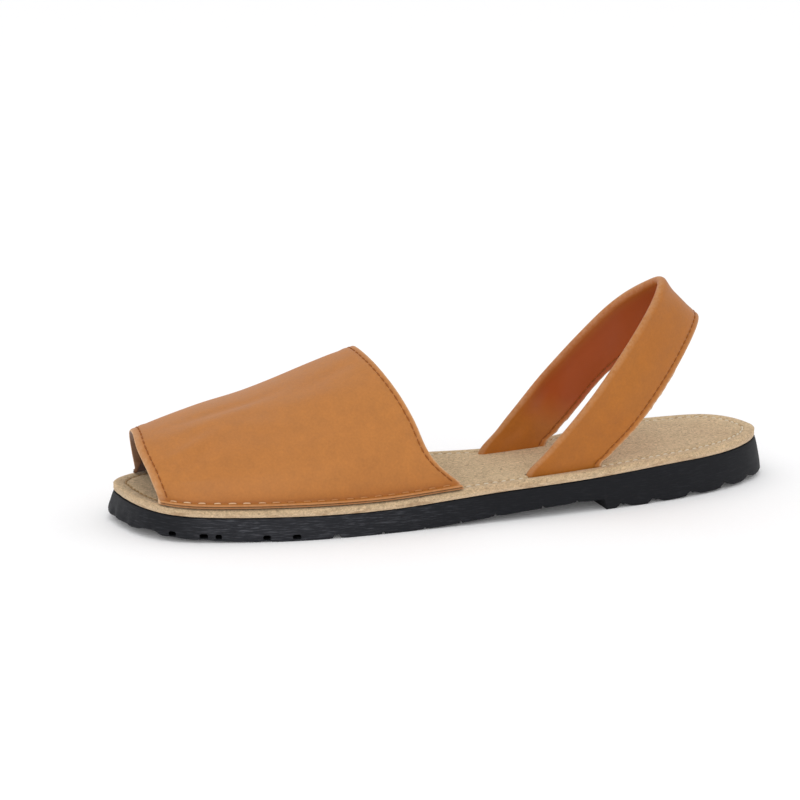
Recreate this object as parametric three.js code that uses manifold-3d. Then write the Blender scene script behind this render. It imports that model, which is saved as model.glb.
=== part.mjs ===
// Open-toed leather sandal for a left foot, in millimetres, +Z up, toe toward -Y.
// Four solids: rubber outsole with its heel and tread, leather footbed, vamp and heel strap.
import * as THREE from 'three';
import { mergeVertices } from 'three/addons/utils/BufferGeometryUtils.js';
import Module from 'manifold-3d';

const wasm = await Module();
wasm.setup();

// Main sizes of the shoe.
const FOOT_LENGTH = 250;
const BALL_WIDTH = 83;
const WAIST_WIDTH = 53;
const HEEL_WIDTH = 58.5;
const INSTEP_HEIGHT = 58.8;
const TOE_HEIGHT = 33.6;
const HEEL_HEIGHT = 13.8;
const FORE_HEIGHT = 8.3;

// Rubber outsole.
const SOLE_FLARE = 1.2;
const TOE_SPRING = 2.2;
const ARCH_RISE = 4;
const HEEL_LIFT = 1.3;
const GROOVE_WIDTH = 2.8;
const GROOVE_DEPTH = 2;
const LUG_DEPTH = 2.4;

// Leather parts.
const FOOTBED_THICKNESS = 3;
const VAMP_THICKNESS = 1.5;
const RIM_THICKNESS = 3.1;
const FLANGE_WIDTH = 2.6;
const FOOTBED_LEDGE = 0.6;
const STRAP_WIDTH = 24;
const STRAP_THICKNESS = 3;
const STRAP_HEIGHT = 80.3;

// Space left between two neighbours.
const FIT_GAP = 0.3;

// How finely the long outlines, the vamp and the strap are cut into flat facets.
const OUTLINE_STEPS = 60;
const VAMP_STEPS = 20;
const ARCH_STEPS = 26;
const STRAP_STEPS = 54;

// Half outlines of the footbed. The turn runs from 0 at the heel tip to 180 at the toe tip.
const OUTLINE = [
  { turn: 0, of: HEEL_WIDTH, outer: 0, inner: 0 },
  { turn: 20, of: HEEL_WIDTH, outer: 0.248, inner: -0.366 },
  { turn: 40, of: HEEL_WIDTH, outer: 0.461, inner: -0.481 },
  { turn: 60, of: HEEL_WIDTH, outer: 0.598, inner: -0.395 },
  { turn: 80, of: WAIST_WIDTH, outer: 0.730, inner: -0.255 },
  { turn: 100, of: BALL_WIDTH, outer: 0.486, inner: -0.338 },
  { turn: 120, of: BALL_WIDTH, outer: 0.486, inner: -0.514 },
  { turn: 140, of: BALL_WIDTH, outer: 0.396, inner: -0.462 },
  { turn: 160, of: BALL_WIDTH, outer: 0.233, inner: -0.315 },
  { turn: 180, of: BALL_WIDTH, outer: -0.145, inner: -0.145 },
];

// Upper side of the rubber along the foot, as heights above the ground.
const DECK = [
  { along: -0.50, of: FORE_HEIGHT, high: 1.22 },
  { along: -0.42, of: FORE_HEIGHT, high: 1.065 },
  { along: -0.32, of: FORE_HEIGHT, high: 1.02 },
  { along: -0.22, of: FORE_HEIGHT, high: 0.99 },
  { along: -0.14, of: FORE_HEIGHT, high: 1.0 },
  { along: -0.06, of: FORE_HEIGHT, high: 1.12 },
  { along: 0.02, of: HEEL_HEIGHT, high: 0.76 },
  { along: 0.108, of: HEEL_HEIGHT, high: 0.82 },
  { along: 0.20, of: HEEL_HEIGHT, high: 0.89 },
  { along: 0.30, of: HEEL_HEIGHT, high: 0.975 },
  { along: 0.40, of: HEEL_HEIGHT, high: 1.005 },
  { along: 0.50, of: HEEL_HEIGHT, high: 1.09 },
];

// Underside of the arch between the two flats, as shares of its rise.
const ARCH = [
  { along: -0.096, rise: 0 },
  { along: -0.056, rise: 0.18 },
  { along: 0, rise: 0.43 },
  { along: 0.08, rise: 0.78 },
  { along: 0.16, rise: 0.97 },
  { along: 0.20, rise: 1 },
];
const TOE_FLAT_END = -0.296;
const ARCH_START = -0.096;
const HEEL_BREAST = 0.196;
const HEEL_FLAT_END = 0.272;

// Side steps of the forefoot tread. Reach is the share of the half width that is cut.
const SIDE_STEPS = [
  { along: -0.476, wide: 0.7, reach: 0.35, slant: 0.3 },
  { along: -0.452, wide: 1, reach: 0.55, slant: 0.25 },
  { along: -0.412, wide: 1.2, reach: 0.5, slant: 0.22 },
  { along: -0.392, wide: 0.9, reach: 0.5, slant: 0.2 },
  { along: -0.326, wide: 1.1, reach: 0.45, slant: 0.18 },
  { along: -0.284, wide: 1.2, reach: 0.4, slant: 0.15 },
  { along: -0.226, wide: 1.2, reach: 0.45, slant: 0.12 },
  { along: -0.156, wide: 0.9, reach: 0.45, slant: 0.1 },
  { along: -0.092, wide: 0.8, reach: 0.5, slant: 0.1 },
  { along: -0.036, wide: 0.8, reach: 0.5, slant: 0.1 },
  { along: 0.018, wide: 0.9, reach: 0.5, slant: 0.12 },
  { along: 0.094, wide: 0.9, reach: 0.5, slant: 0.12 },
  { along: 0.149, wide: 0.9, reach: 0.5, slant: 0.12 },
];

// Full grooves between the heel lugs.
const HEEL_GROOVES = [
  { along: 0.228, wide: 0.8, deep: 0.9 },
  { along: 0.283, wide: 1.3, deep: 0.75 },
  { along: 0.350, wide: 1.1, deep: 0.85 },
  { along: 0.414, wide: 1.3, deep: 1.0 },
  { along: 0.465, wide: 1.1, deep: 1.0 },
];

// Ridge line of the vamp from the toe opening to the throat, and the footbed seen beside it.
const RIDGE = [
  { along: -0.48, side: -0.11, rise: -0.031, ledge: -2 },
  { along: -0.425, side: -0.11, rise: 0.112, ledge: -0.8 },
  { along: -0.356, side: -0.11, rise: 0.274, ledge: 0.5 },
  { along: -0.296, side: -0.105, rise: 0.398, ledge: 1 },
  { along: -0.211, side: -0.1, rise: 0.691, ledge: 1 },
  { along: -0.13, side: -0.09, rise: 0.992, ledge: 1 },
  { along: -0.02, side: -0.08, rise: 1.222, ledge: 1 },
];
const OUTER_SQUARENESS = 2.05;
const INNER_SQUARENESS = 2.3;

// Where the vamp's two open edges stand along the foot, from the outer base over the ridge.
const EDGES = [
  { over: 0, toe: -0.4656, throat: -0.0325 },
  { over: 0.05, toe: -0.4693, throat: -0.0645 },
  { over: 0.15, toe: -0.475, throat: -0.091 },
  { over: 0.3, toe: -0.4804, throat: -0.1159 },
  { over: 0.5, toe: -0.4753, throat: -0.1311 },
  { over: 0.7, toe: -0.4707, throat: -0.1159 },
  { over: 0.85, toe: -0.4641, throat: -0.091 },
  { over: 0.95, toe: -0.4587, throat: -0.0645 },
  { over: 1, toe: -0.4554, throat: -0.036 },
];

// Folded top edge of the heel strap, and the way its width runs from there.
const STRAP = [
  { way: 0, x: 0.566, y: 0.079, z: 0.182, wide: 1.21, dx: -0.02, dy: 1.00, dz: 0.04 },
  { way: 0.143, x: 0.556, y: 0.185, z: 0.527, wide: 1.00, dx: -0.12, dy: 0.90, dz: -0.42 },
  { way: 0.286, x: 0.430, y: 0.268, z: 0.826, wide: 1.01, dx: -0.11, dy: 0.71, dz: -0.69 },
  { way: 0.429, x: 0.224, y: 0.321, z: 0.988, wide: 1.00, dx: -0.10, dy: 0.69, dz: -0.72 },
  { way: 0.5, x: 0.109, y: 0.328, z: 1.000, wide: 1.00, dx: -0.12, dy: 0.72, dz: -0.68 },
  { way: 0.571, x: 0.005, y: 0.320, z: 0.967, wide: 0.99, dx: -0.18, dy: 0.74, dz: -0.65 },
  { way: 0.714, x: -0.144, y: 0.264, z: 0.814, wide: 1.01, dx: -0.27, dy: 0.74, dz: -0.62 },
  { way: 0.857, x: -0.183, y: 0.171, z: 0.539, wide: 1.00, dx: -0.23, dy: 0.87, dz: -0.44 },
  { way: 1, x: -0.115, y: 0.058, z: 0.174, wide: 1.11, dx: -0.02, dy: 1.00, dz: 0.03 },
];

const HALF_LENGTH = FOOT_LENGTH / 2;

// Smooth curve through a table's rows: place reads where a row stands and value what it holds.
function follow(rows, place, value) {
  const last = rows.length - 1;
  const x = rows.map(place);
  const y = rows.map(value);
  const bend = new Array(last + 1).fill(0);
  const load = new Array(last + 1).fill(0);
  for (let i = 1; i < last; i += 1) {
    const span = x[i + 1] - x[i - 1];
    const share = (x[i] - x[i - 1]) / span;
    const pivot = share * bend[i - 1] + 2;
    const ahead = (y[i + 1] - y[i]) / (x[i + 1] - x[i]);
    const behind = (y[i] - y[i - 1]) / (x[i] - x[i - 1]);
    bend[i] = (share - 1) / pivot;
    load[i] = ((6 * (ahead - behind)) / span - share * load[i - 1]) / pivot;
  }
  for (let i = last - 1; i >= 0; i -= 1) {
    bend[i] = bend[i] * bend[i + 1] + load[i];
  }
  return (at) => {
    const t = Math.min(Math.max(at, x[0]), x[last]);
    let k = 1;
    while (k < last && x[k] < t) {
      k += 1;
    }
    const h = x[k] - x[k - 1];
    const a = (x[k] - t) / h;
    const b = (t - x[k - 1]) / h;
    const sag = (a ** 3 - a) * bend[k - 1] + (b ** 3 - b) * bend[k];
    return a * y[k - 1] + b * y[k] + (sag * h * h) / 6;
  };
}

const outerEdge = follow(OUTLINE, (row) => row.turn, (row) => row.of * row.outer);
const innerEdge = follow(OUTLINE, (row) => row.turn, (row) => row.of * row.inner);
const deckAlong = follow(DECK, (row) => row.along, (row) => row.of * row.high);
const archAlong = follow(ARCH, (row) => row.along, (row) => row.rise);
const ridgeSide = follow(RIDGE, (row) => row.along, (row) => row.side);
const ridgeRise = follow(RIDGE, (row) => row.along, (row) => row.rise);
const ledgeShare = follow(RIDGE, (row) => row.along, (row) => row.ledge);
const toeEdge = follow(EDGES, (row) => row.over, (row) => row.toe);
const throatEdge = follow(EDGES, (row) => row.over, (row) => row.throat);

function turnAt(y) {
  const share = Math.min(Math.max(y / HALF_LENGTH, -1), 1);
  return THREE.MathUtils.radToDeg(Math.acos(share));
}

function deckHeight(y) {
  return deckAlong(y / FOOT_LENGTH);
}

function footbedTop(y) {
  return deckHeight(y) + FIT_GAP + FOOTBED_THICKNESS;
}

// Underside of the rubber without the heel: toe spring, forefoot flat and arch.
function soleUnder(y) {
  const along = y / FOOT_LENGTH;
  if (along < TOE_FLAT_END) {
    return TOE_SPRING * ((TOE_FLAT_END - along) / (TOE_FLAT_END + 0.5)) ** 1.6;
  }
  if (along <= ARCH_START) {
    return 0;
  }
  return ARCH_RISE * archAlong(along);
}

// Underside of the heel block: flat at the breast, lifting toward the back.
function heelUnder(y) {
  const share = Math.max(0, (y / FOOT_LENGTH - HEEL_FLAT_END) / (0.5 - HEEL_FLAT_END));
  return HEEL_LIFT * share;
}

// One point of an outline in plan, moved inward from the footbed's edge.
function outlinePoint(turn, side, inset) {
  const edge = side > 0 ? outerEdge : innerEdge;
  const place = (angle) => [edge(angle), HALF_LENGTH * Math.cos(THREE.MathUtils.degToRad(angle))];
  const [x, y] = place(turn);
  const before = place(Math.max(turn - 1, 0));
  const after = place(Math.min(turn + 1, 180));
  const run = Math.hypot(after[0] - before[0], after[1] - before[1]);
  if (turn === 0 || turn === 180) {
    return [x, y - (turn === 0 ? inset : -inset)];
  }
  const outX = (-side * (after[1] - before[1])) / run;
  const outY = (side * (after[0] - before[0])) / run;
  return [x - outX * inset, y - outY * inset];
}

function meshFrom(points, faces) {
  const shape = new THREE.BufferGeometry();
  shape.setAttribute('position', new THREE.BufferAttribute(new Float32Array(points.flat()), 3));
  shape.setIndex(faces.flat());
  return shape;
}

// Six times the enclosed volume, whose sign tells which way the faces look.
function signedVolume(shape) {
  const at = shape.getAttribute('position');
  const index = shape.getIndex().array;
  const a = new THREE.Vector3();
  const b = new THREE.Vector3();
  const c = new THREE.Vector3();
  let sum = 0;
  for (let i = 0; i < index.length; i += 3) {
    a.fromBufferAttribute(at, index[i]);
    b.fromBufferAttribute(at, index[i + 1]);
    c.fromBufferAttribute(at, index[i + 2]);
    sum += a.dot(b.cross(c));
  }
  return sum;
}

function facingOut(shape) {
  if (signedVolume(shape) < 0) {
    const index = shape.getIndex().array;
    for (let i = 0; i < index.length; i += 3) {
      const kept = index[i + 1];
      index[i + 1] = index[i + 2];
      index[i + 2] = kept;
    }
  }
  return shape;
}

// Body between stacked outlines. Each level names its inset and its height along the foot.
function outlineBody(levels) {
  const points = [];
  const faces = [];
  const around = 2 * OUTLINE_STEPS;
  for (const level of levels) {
    for (let i = 0; i < around; i += 1) {
      const side = i <= OUTLINE_STEPS ? 1 : -1;
      const step = side > 0 ? i : around - i;
      const turn = (180 * step) / OUTLINE_STEPS;
      const [x, y] = outlinePoint(turn, side, level.inset(turn));
      points.push([x, y, level.height(y)]);
    }
  }
  for (let k = 0; k + 1 < levels.length; k += 1) {
    for (let i = 0; i < around; i += 1) {
      const a = k * around + i;
      const b = k * around + ((i + 1) % around);
      faces.push([a, b, b + around], [a, b + around, a + around]);
    }
  }
  const top = (levels.length - 1) * around;
  for (let i = 0; i < OUTLINE_STEPS; i += 1) {
    const outer = i;
    const outerNext = i + 1;
    const inner = (around - i) % around;
    const innerNext = around - i - 1;
    if (i > 0) {
      faces.push([outer, inner, outerNext]);
      faces.push([top + outer, top + outerNext, top + inner]);
    }
    if (i < OUTLINE_STEPS - 1) {
      faces.push([inner, innerNext, outerNext]);
      faces.push([top + inner, top + outerNext, top + innerNext]);
    }
  }
  return facingOut(meshFrom(points, faces));
}

// Closed body with the corners of a bottom face and, in the same order, of a top face.
function blockFrom(bottom, top) {
  const count = bottom.length;
  const faces = [];
  for (let i = 0; i < count; i += 1) {
    const j = (i + 1) % count;
    faces.push([i, j, count + j], [i, count + j, count + i]);
  }
  for (let i = 1; i + 1 < count; i += 1) {
    faces.push([0, i + 1, i], [count, count + i, count + i + 1]);
  }
  return facingOut(meshFrom([...bottom, ...top], faces));
}

function toSolid(shape) {
  const plain = shape.clone();
  plain.deleteAttribute('normal');
  plain.deleteAttribute('uv');
  const merged = mergeVertices(plain, 1e-5);
  return new wasm.Manifold(new wasm.Mesh({
    numProp: 3,
    vertProperties: new Float32Array(merged.getAttribute('position').array),
    triVerts: new Uint32Array(merged.getIndex().array),
  }));
}

function fromSolid(solid) {
  const mesh = solid.getMesh();
  const stride = mesh.numProp;
  const points = [];
  const faces = [];
  for (let i = 0; i < mesh.vertProperties.length; i += stride) {
    points.push([mesh.vertProperties[i], mesh.vertProperties[i + 1], mesh.vertProperties[i + 2]]);
  }
  for (let i = 0; i < mesh.triVerts.length; i += 3) {
    faces.push([mesh.triVerts[i], mesh.triVerts[i + 1], mesh.triVerts[i + 2]]);
  }
  return meshFrom(points, faces);
}

// Flare of the rubber toward the ground, a little more behind the heel.
function flareAt(turn) {
  return SOLE_FLARE * (1 + Math.max(0, Math.cos(THREE.MathUtils.degToRad(turn))) ** 6);
}

// Notch across the tread from startX to endX, wider at the ground than at its root.
function notch(place) {
  const low = -1;
  const high = place.root;
  const y = (x) => place.y + place.slant * Math.abs(x - place.startX);
  const wide = place.wide / 2;
  const open = wide * 1.35;
  const ring = (half, z) => [
    [place.startX, y(place.startX) - half, z],
    [place.endX, y(place.endX) - half, z],
    [place.endX, y(place.endX) + half, z],
    [place.startX, y(place.startX) + half, z],
  ];
  return blockFrom(ring(open, low), ring(wide, high));
}

function makeOutsole() {
  const flat = () => 0;
  const flared = (turn) => -flareAt(turn);
  const partFlared = (turn) => -0.75 * flareAt(turn);
  const blend = (under, share) => (y) => under(y) + (deckHeight(y) - under(y)) * share;
  const body = (under) => outlineBody([
    { inset: partFlared, height: under },
    { inset: flared, height: blend(under, 0.14) },
    { inset: flat, height: deckHeight },
  ]);
  let sole = toSolid(body(soleUnder));
  const breast = HEEL_BREAST * FOOT_LENGTH;
  const reach = BALL_WIDTH;
  const behind = (y, z) => [[-reach, y, z], [reach, y, z], [reach, FOOT_LENGTH, z], [-reach, FOOT_LENGTH, z]];
  const heelSpace = toSolid(blockFrom(behind(breast, -1), behind(breast - ARCH_RISE * 0.5, HEEL_HEIGHT * 2)));
  const heelBlock = toSolid(body(heelUnder)).intersect(heelSpace);
  sole = sole.add(heelBlock);
  for (const row of SIDE_STEPS) {
    const y = row.along * FOOT_LENGTH;
    for (const side of [1, -1]) {
      const edge = side > 0 ? outerEdge(turnAt(y)) : innerEdge(turnAt(y));
      const other = side > 0 ? innerEdge(turnAt(y)) : outerEdge(turnAt(y));
      const middle = (edge + other) / 2;
      const cut = notch({
        y: y - 3 * row.slant,
        startX: edge + side * 3 * SOLE_FLARE,
        endX: edge + (middle - edge) * row.reach,
        root: soleUnder(y) + GROOVE_DEPTH,
        wide: GROOVE_WIDTH * row.wide,
        slant: row.slant,
      });
      sole = sole.subtract(toSolid(cut));
    }
  }
  for (const row of HEEL_GROOVES) {
    const y = row.along * FOOT_LENGTH;
    for (const side of [1, -1]) {
      const cut = notch({
        y,
        startX: side * reach,
        endX: -side * 0.5,
        root: heelUnder(y) + LUG_DEPTH * row.deep,
        wide: GROOVE_WIDTH * row.wide,
        slant: -0.06,
      });
      sole = sole.subtract(toSolid(cut));
    }
  }
  return fromSolid(sole);
}

const strapRow = (column) => follow(STRAP, (row) => row.way, (row) => row[column]);
const strapCurves = Object.fromEntries(
  ['x', 'y', 'z', 'wide', 'dx', 'dy', 'dz'].map((column) => [column, strapRow(column)]),
);

// Folded edge and raw edge of the strap at one place of its way.
function strapEdges(way) {
  const read = (column) => strapCurves[column](way);
  const top = new THREE.Vector3(
    read('x') * HEEL_WIDTH,
    read('y') * FOOT_LENGTH,
    read('z') * STRAP_HEIGHT,
  );
  const across = new THREE.Vector3(read('dx'), read('dy'), read('dz')).normalize();
  const low = top.clone().addScaledVector(across, read('wide') * STRAP_WIDTH);
  return { top, low, across };
}

// The strap's two ends stand upright in their slots.
function strapFoot(way, height) {
  const { top, low } = strapEdges(way);
  top.z = height(top.y);
  low.z = height(low.y);
  const across = low.clone().sub(top).normalize();
  return { top, low, across };
}

// Level direction from a strap end toward the middle of the foot; side is the sign of X.
function inwardAtFoot(ring, side) {
  const inward = new THREE.Vector3(side, 0, 0);
  inward.addScaledVector(ring.across, -inward.dot(ring.across));
  inward.z = 0;
  return inward.normalize();
}

// Section of the folded strap: round at the fold, pressed flat along the raw edge.
// Down is the share of the width, past the fold's own depth, and inward the share of the thickness.
const STRAP_SECTION = [
  { down: 0, past: 0.30, inward: -0.10 },
  { down: 0, past: 0.09, inward: 0.04 },
  { down: 0, past: 0, inward: 0.41 },
  { down: 0, past: 0.09, inward: 0.78 },
  { down: 0, past: 0.30, inward: 0.92 },
  { down: 0.45, past: 0, inward: 0.96 },
  { down: 0.82, past: 0, inward: 0.85 },
  { down: 1, past: 0, inward: 0.77 },
  { down: 1, past: 0, inward: 0.05 },
  { down: 0.82, past: 0, inward: -0.03 },
  { down: 0.45, past: 0, inward: -0.14 },
];
const STRAP_MIDDLE = 0.41;
const STRAP_HALF = 0.55;

function makeStrap() {
  const rings = [];
  const seat = (y) => deckHeight(y) + FIT_GAP;
  const brim = (y) => footbedTop(y) + FIT_GAP;
  rings.push(strapFoot(0, seat));
  rings.push(strapFoot(0, brim));
  for (let i = 2; i < STRAP_STEPS - 1; i += 1) {
    rings.push(strapEdges(i / STRAP_STEPS));
  }
  rings.push(strapFoot(1, brim));
  rings.push(strapFoot(1, seat));
  const middle = rings.map((ring) => ring.top.clone().add(ring.low).multiplyScalar(0.5));
  const points = [];
  const faces = [];
  const around = STRAP_SECTION.length;
  rings.forEach((ring, i) => {
    const ahead = middle[Math.min(i + 1, rings.length - 1)];
    const behind = middle[Math.max(i - 1, 0)];
    const inward = ahead.clone().sub(behind).cross(ring.across).normalize();
    if (i < 2) {
      inward.copy(inwardAtFoot(ring, -1));
    }
    if (i > rings.length - 3) {
      inward.copy(inwardAtFoot(ring, 1));
    }
    const width = ring.top.distanceTo(ring.low);
    for (const row of STRAP_SECTION) {
      const along = row.down * width + row.past * STRAP_THICKNESS;
      const place = ring.top.clone().addScaledVector(ring.across, along);
      place.addScaledVector(inward, row.inward * STRAP_THICKNESS);
      points.push(place.toArray());
    }
  });
  for (let k = 0; k + 1 < rings.length; k += 1) {
    for (let i = 0; i < around; i += 1) {
      const a = k * around + i;
      const b = k * around + ((i + 1) % around);
      faces.push([a, b, b + around], [a, b + around, a + around]);
    }
  }
  const last = (rings.length - 1) * around;
  for (let i = 1; i + 1 < around; i += 1) {
    faces.push([0, i + 1, i], [last, last + i, last + i + 1]);
  }
  return facingOut(meshFrom(points, faces));
}

// Slot in the footbed around one end of the strap.
function strapSlot(way) {
  const ring = strapFoot(way, () => 0);
  const inward = inwardAtFoot(ring, way === 0 ? -1 : 1);
  const half = STRAP_HALF * STRAP_THICKNESS + FIT_GAP;
  const place = (end, away, side) => {
    const corner = end.clone().addScaledVector(ring.across, away);
    corner.addScaledVector(inward, STRAP_MIDDLE * STRAP_THICKNESS + side * half);
    return corner;
  };
  const corners = [
    place(ring.top, -FIT_GAP, -1),
    place(ring.top, -FIT_GAP, 1),
    place(ring.low, FIT_GAP, 1),
    place(ring.low, FIT_GAP, -1),
  ];
  const level = (z) => corners.map((corner) => [corner.x, corner.y, z]);
  return blockFrom(level(0), level(HEEL_HEIGHT * 2));
}

function makeFootbed() {
  const base = (y) => deckHeight(y) + FIT_GAP;
  const board = outlineBody([
    { inset: () => 0.3, height: base },
    { inset: () => 0, height: (y) => base(y) + 0.3 * FOOTBED_THICKNESS },
    { inset: () => 0, height: (y) => base(y) + 0.85 * FOOTBED_THICKNESS },
    { inset: () => 0.5, height: footbedTop },
  ]);
  let bed = toSolid(board);
  for (const way of [0, 1]) {
    bed = bed.subtract(toSolid(strapSlot(way)));
  }
  return fromSolid(bed);
}

// Outer skin of the vamp's section at one place along the foot, from outer to inner flange end.
function vampSection(y) {
  const turn = turnAt(y);
  const along = y / FOOT_LENGTH;
  const rest = footbedTop(y) + FIT_GAP;
  const ridgeX = ridgeSide(along) * BALL_WIDTH;
  const ridgeZ = TOE_HEIGHT + ridgeRise(along) * (INSTEP_HEIGHT - TOE_HEIGHT);
  const skin = rest + VAMP_THICKNESS;
  const wall = (side, angle) => {
    const edge = side > 0 ? outerEdge(turn) : innerEdge(turn);
    const ledge = side > 0 ? ledgeShare(along) : 1;
    const base = edge - side * (FLANGE_WIDTH + FOOTBED_LEDGE * ledge);
    const power = 2 / (side > 0 ? OUTER_SQUARENESS : INNER_SQUARENESS);
    const foot = skin + 0.25 * VAMP_THICKNESS;
    const x = ridgeX + (base - ridgeX) * Math.max(0, Math.cos(angle)) ** power;
    const z = foot + (ridgeZ - foot) * Math.max(0, Math.sin(angle)) ** power;
    return [x, z];
  };
  const flange = (side) => {
    const [x] = wall(side, 0);
    const end = x + side * FLANGE_WIDTH;
    return [
      [end, skin],
      [x + side * 0.35 * VAMP_THICKNESS, skin],
      [x + side * 0.1 * VAMP_THICKNESS, skin + 0.08 * VAMP_THICKNESS],
    ];
  };
  const section = [...flange(1)];
  for (let i = 0; i < ARCH_STEPS; i += 1) {
    const angle = (Math.PI * i) / ARCH_STEPS;
    const side = 2 * i <= ARCH_STEPS ? 1 : -1;
    section.push(wall(side, side > 0 ? angle : Math.PI - angle));
  }
  section.push(wall(-1, 0));
  section.push(...flange(-1).reverse());
  return section;
}

// Skin point and the point below it on the lining side, for one stop of the section.
function vampPair(y, stop, thickness) {
  const section = vampSection(y);
  const before = section[Math.max(stop - 1, 0)];
  const after = section[Math.min(stop + 1, section.length - 1)];
  const run = Math.hypot(after[0] - before[0], after[1] - before[1]);
  const outX = (after[1] - before[1]) / run;
  const outZ = -(after[0] - before[0]) / run;
  const [x, z] = section[stop];
  return [[x, y, z], [x - outX * thickness, y, z - outZ * thickness]];
}

function makeVamp() {
  const stops = vampSection(0).length;
  const skin = [];
  const lining = [];
  for (let t = 0; t <= VAMP_STEPS; t += 1) {
    for (let stop = 0; stop < stops; stop += 1) {
      const over = Math.min(Math.max((stop - 3) / (stops - 7), 0), 1);
      const toe = toeEdge(over) * FOOT_LENGTH;
      const throat = throatEdge(over) * FOOT_LENGTH;
      const y = toe + ((throat - toe) * t) / VAMP_STEPS;
      const onFlange = stop < 3 || stop > stops - 4;
      const nearRim = t < 2 || t > VAMP_STEPS - 2;
      const thickness = nearRim && !onFlange ? RIM_THICKNESS : VAMP_THICKNESS;
      const [above, below] = vampPair(y, stop, thickness);
      skin.push(above);
      lining.push(below);
    }
  }
  const points = [...skin, ...lining];
  const depth = skin.length;
  const faces = [];
  const at = (t, stop) => t * stops + stop;
  for (let t = 0; t < VAMP_STEPS; t += 1) {
    for (let stop = 0; stop + 1 < stops; stop += 1) {
      const [a, b, c, d] = [at(t, stop), at(t + 1, stop), at(t + 1, stop + 1), at(t, stop + 1)];
      faces.push([a, b, c], [a, c, d]);
      faces.push([depth + a, depth + c, depth + b], [depth + a, depth + d, depth + c]);
    }
    for (const stop of [0, stops - 1]) {
      const [a, b] = stop === 0 ? [at(t + 1, stop), at(t, stop)] : [at(t, stop), at(t + 1, stop)];
      faces.push([a, b, depth + b], [a, depth + b, depth + a]);
    }
  }
  for (const t of [0, VAMP_STEPS]) {
    for (let stop = 0; stop + 1 < stops; stop += 1) {
      const [a, b] = t === 0 ? [at(t, stop), at(t, stop + 1)] : [at(t, stop + 1), at(t, stop)];
      faces.push([a, b, depth + b], [a, depth + b, depth + a]);
    }
  }
  return facingOut(meshFrom(points, faces));
}

const parts = [
  { name: 'outsole', shape: makeOutsole(), colour: 0x26272b, roughness: 0.8 },
  { name: 'footbed', shape: makeFootbed(), colour: 0xc8b08c, roughness: 0.95 },
  { name: 'vamp', shape: makeVamp(), colour: 0xbf7e47, roughness: 0.5 },
  { name: 'heel_strap', shape: makeStrap(), colour: 0xb5713a, roughness: 0.5 },
];

// The origin stands under the middle of the whole shoe, on the ground.
const whole = new THREE.Box3();
for (const part of parts) {
  part.shape.computeBoundingBox();
  whole.union(part.shape.boundingBox);
}
const middle = whole.getCenter(new THREE.Vector3());

const sandal = new THREE.Group();
sandal.name = 'avarca_sandal';
for (const part of parts) {
  part.shape.translate(-middle.x, -middle.y, -whole.min.z);
  part.shape.computeVertexNormals();
  const material = new THREE.MeshStandardMaterial({ color: part.colour, roughness: part.roughness });
  const mesh = new THREE.Mesh(part.shape, material);
  mesh.name = part.name;
  sandal.add(mesh);
}

export default sandal;
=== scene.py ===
# %% [markdown]
# A left-foot avarca sandal: a black rubber sole, a suede footbed, an open-toed vamp of tan leather and a
# folded leather strap round the heel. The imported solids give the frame. This file dresses each of them
# with a finer piece of the same shape, adds the sewing, and sets a plain studio round it.

# %% Load the frame
import math
import random

import bpy
import numpy as np
from mathutils import Matrix, Vector


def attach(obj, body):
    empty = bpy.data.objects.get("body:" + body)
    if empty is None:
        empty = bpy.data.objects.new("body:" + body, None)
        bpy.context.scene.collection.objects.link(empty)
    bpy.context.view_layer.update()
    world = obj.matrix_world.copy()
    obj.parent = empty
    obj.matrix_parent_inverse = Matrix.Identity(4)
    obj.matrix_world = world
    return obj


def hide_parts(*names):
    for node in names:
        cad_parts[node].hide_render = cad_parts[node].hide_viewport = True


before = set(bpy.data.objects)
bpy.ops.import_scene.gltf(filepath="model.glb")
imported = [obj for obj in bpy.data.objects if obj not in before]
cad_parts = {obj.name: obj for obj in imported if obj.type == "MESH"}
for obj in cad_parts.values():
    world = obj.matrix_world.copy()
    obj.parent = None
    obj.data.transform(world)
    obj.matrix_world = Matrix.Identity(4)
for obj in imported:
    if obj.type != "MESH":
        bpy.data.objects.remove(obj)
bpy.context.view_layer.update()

# %% [markdown]
# The shoe is drawn in millimetres on its own length, like a pattern maker's draft, and one function moves
# it to the row frame in metres. The sizes below are the ones the solids were made from, so that each
# dressed piece lies where its solid is.

# %% Sizes of the shoe
FOOT_LENGTH, BALL_WIDTH, WAIST_WIDTH, HEEL_WIDTH = 250.0, 83.0, 53.0, 58.5
INSTEP_HEIGHT, TOE_HEIGHT, HEEL_HEIGHT, FORE_HEIGHT = 58.8, 33.6, 13.8, 8.3
SOLE_FLARE, TOE_SPRING, ARCH_RISE, HEEL_LIFT = 1.2, 2.2, 4.0, 1.3
GROOVE_WIDTH, GROOVE_DEPTH, LUG_DEPTH = 2.8, 2.0, 2.4
FOOTBED_THICKNESS, VAMP_THICKNESS, RIM_THICKNESS = 3.0, 1.5, 3.1
FLANGE_WIDTH, FOOTBED_LEDGE = 2.6, 0.6
STRAP_WIDTH, STRAP_THICKNESS, STRAP_HEIGHT = 24.0, 3.0, 80.3
FIT_GAP = 0.3
HALF_LENGTH = FOOT_LENGTH / 2
SHIFT = np.array([1.0725, -0.6, 0.0])


def to_row(points):
    """Millimetres of the draft to metres of the row frame."""
    return (np.asarray(points, float) + SHIFT) * 0.001


print("draft moved by", SHIFT, "mm")

# %% [markdown]
# A last has no straight lines, so each of its curves is a short table with a smooth curve through the
# rows. The curve bends like a thin batten held at those points, which is what a pattern maker uses.

# %% Curves through short tables


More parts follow.
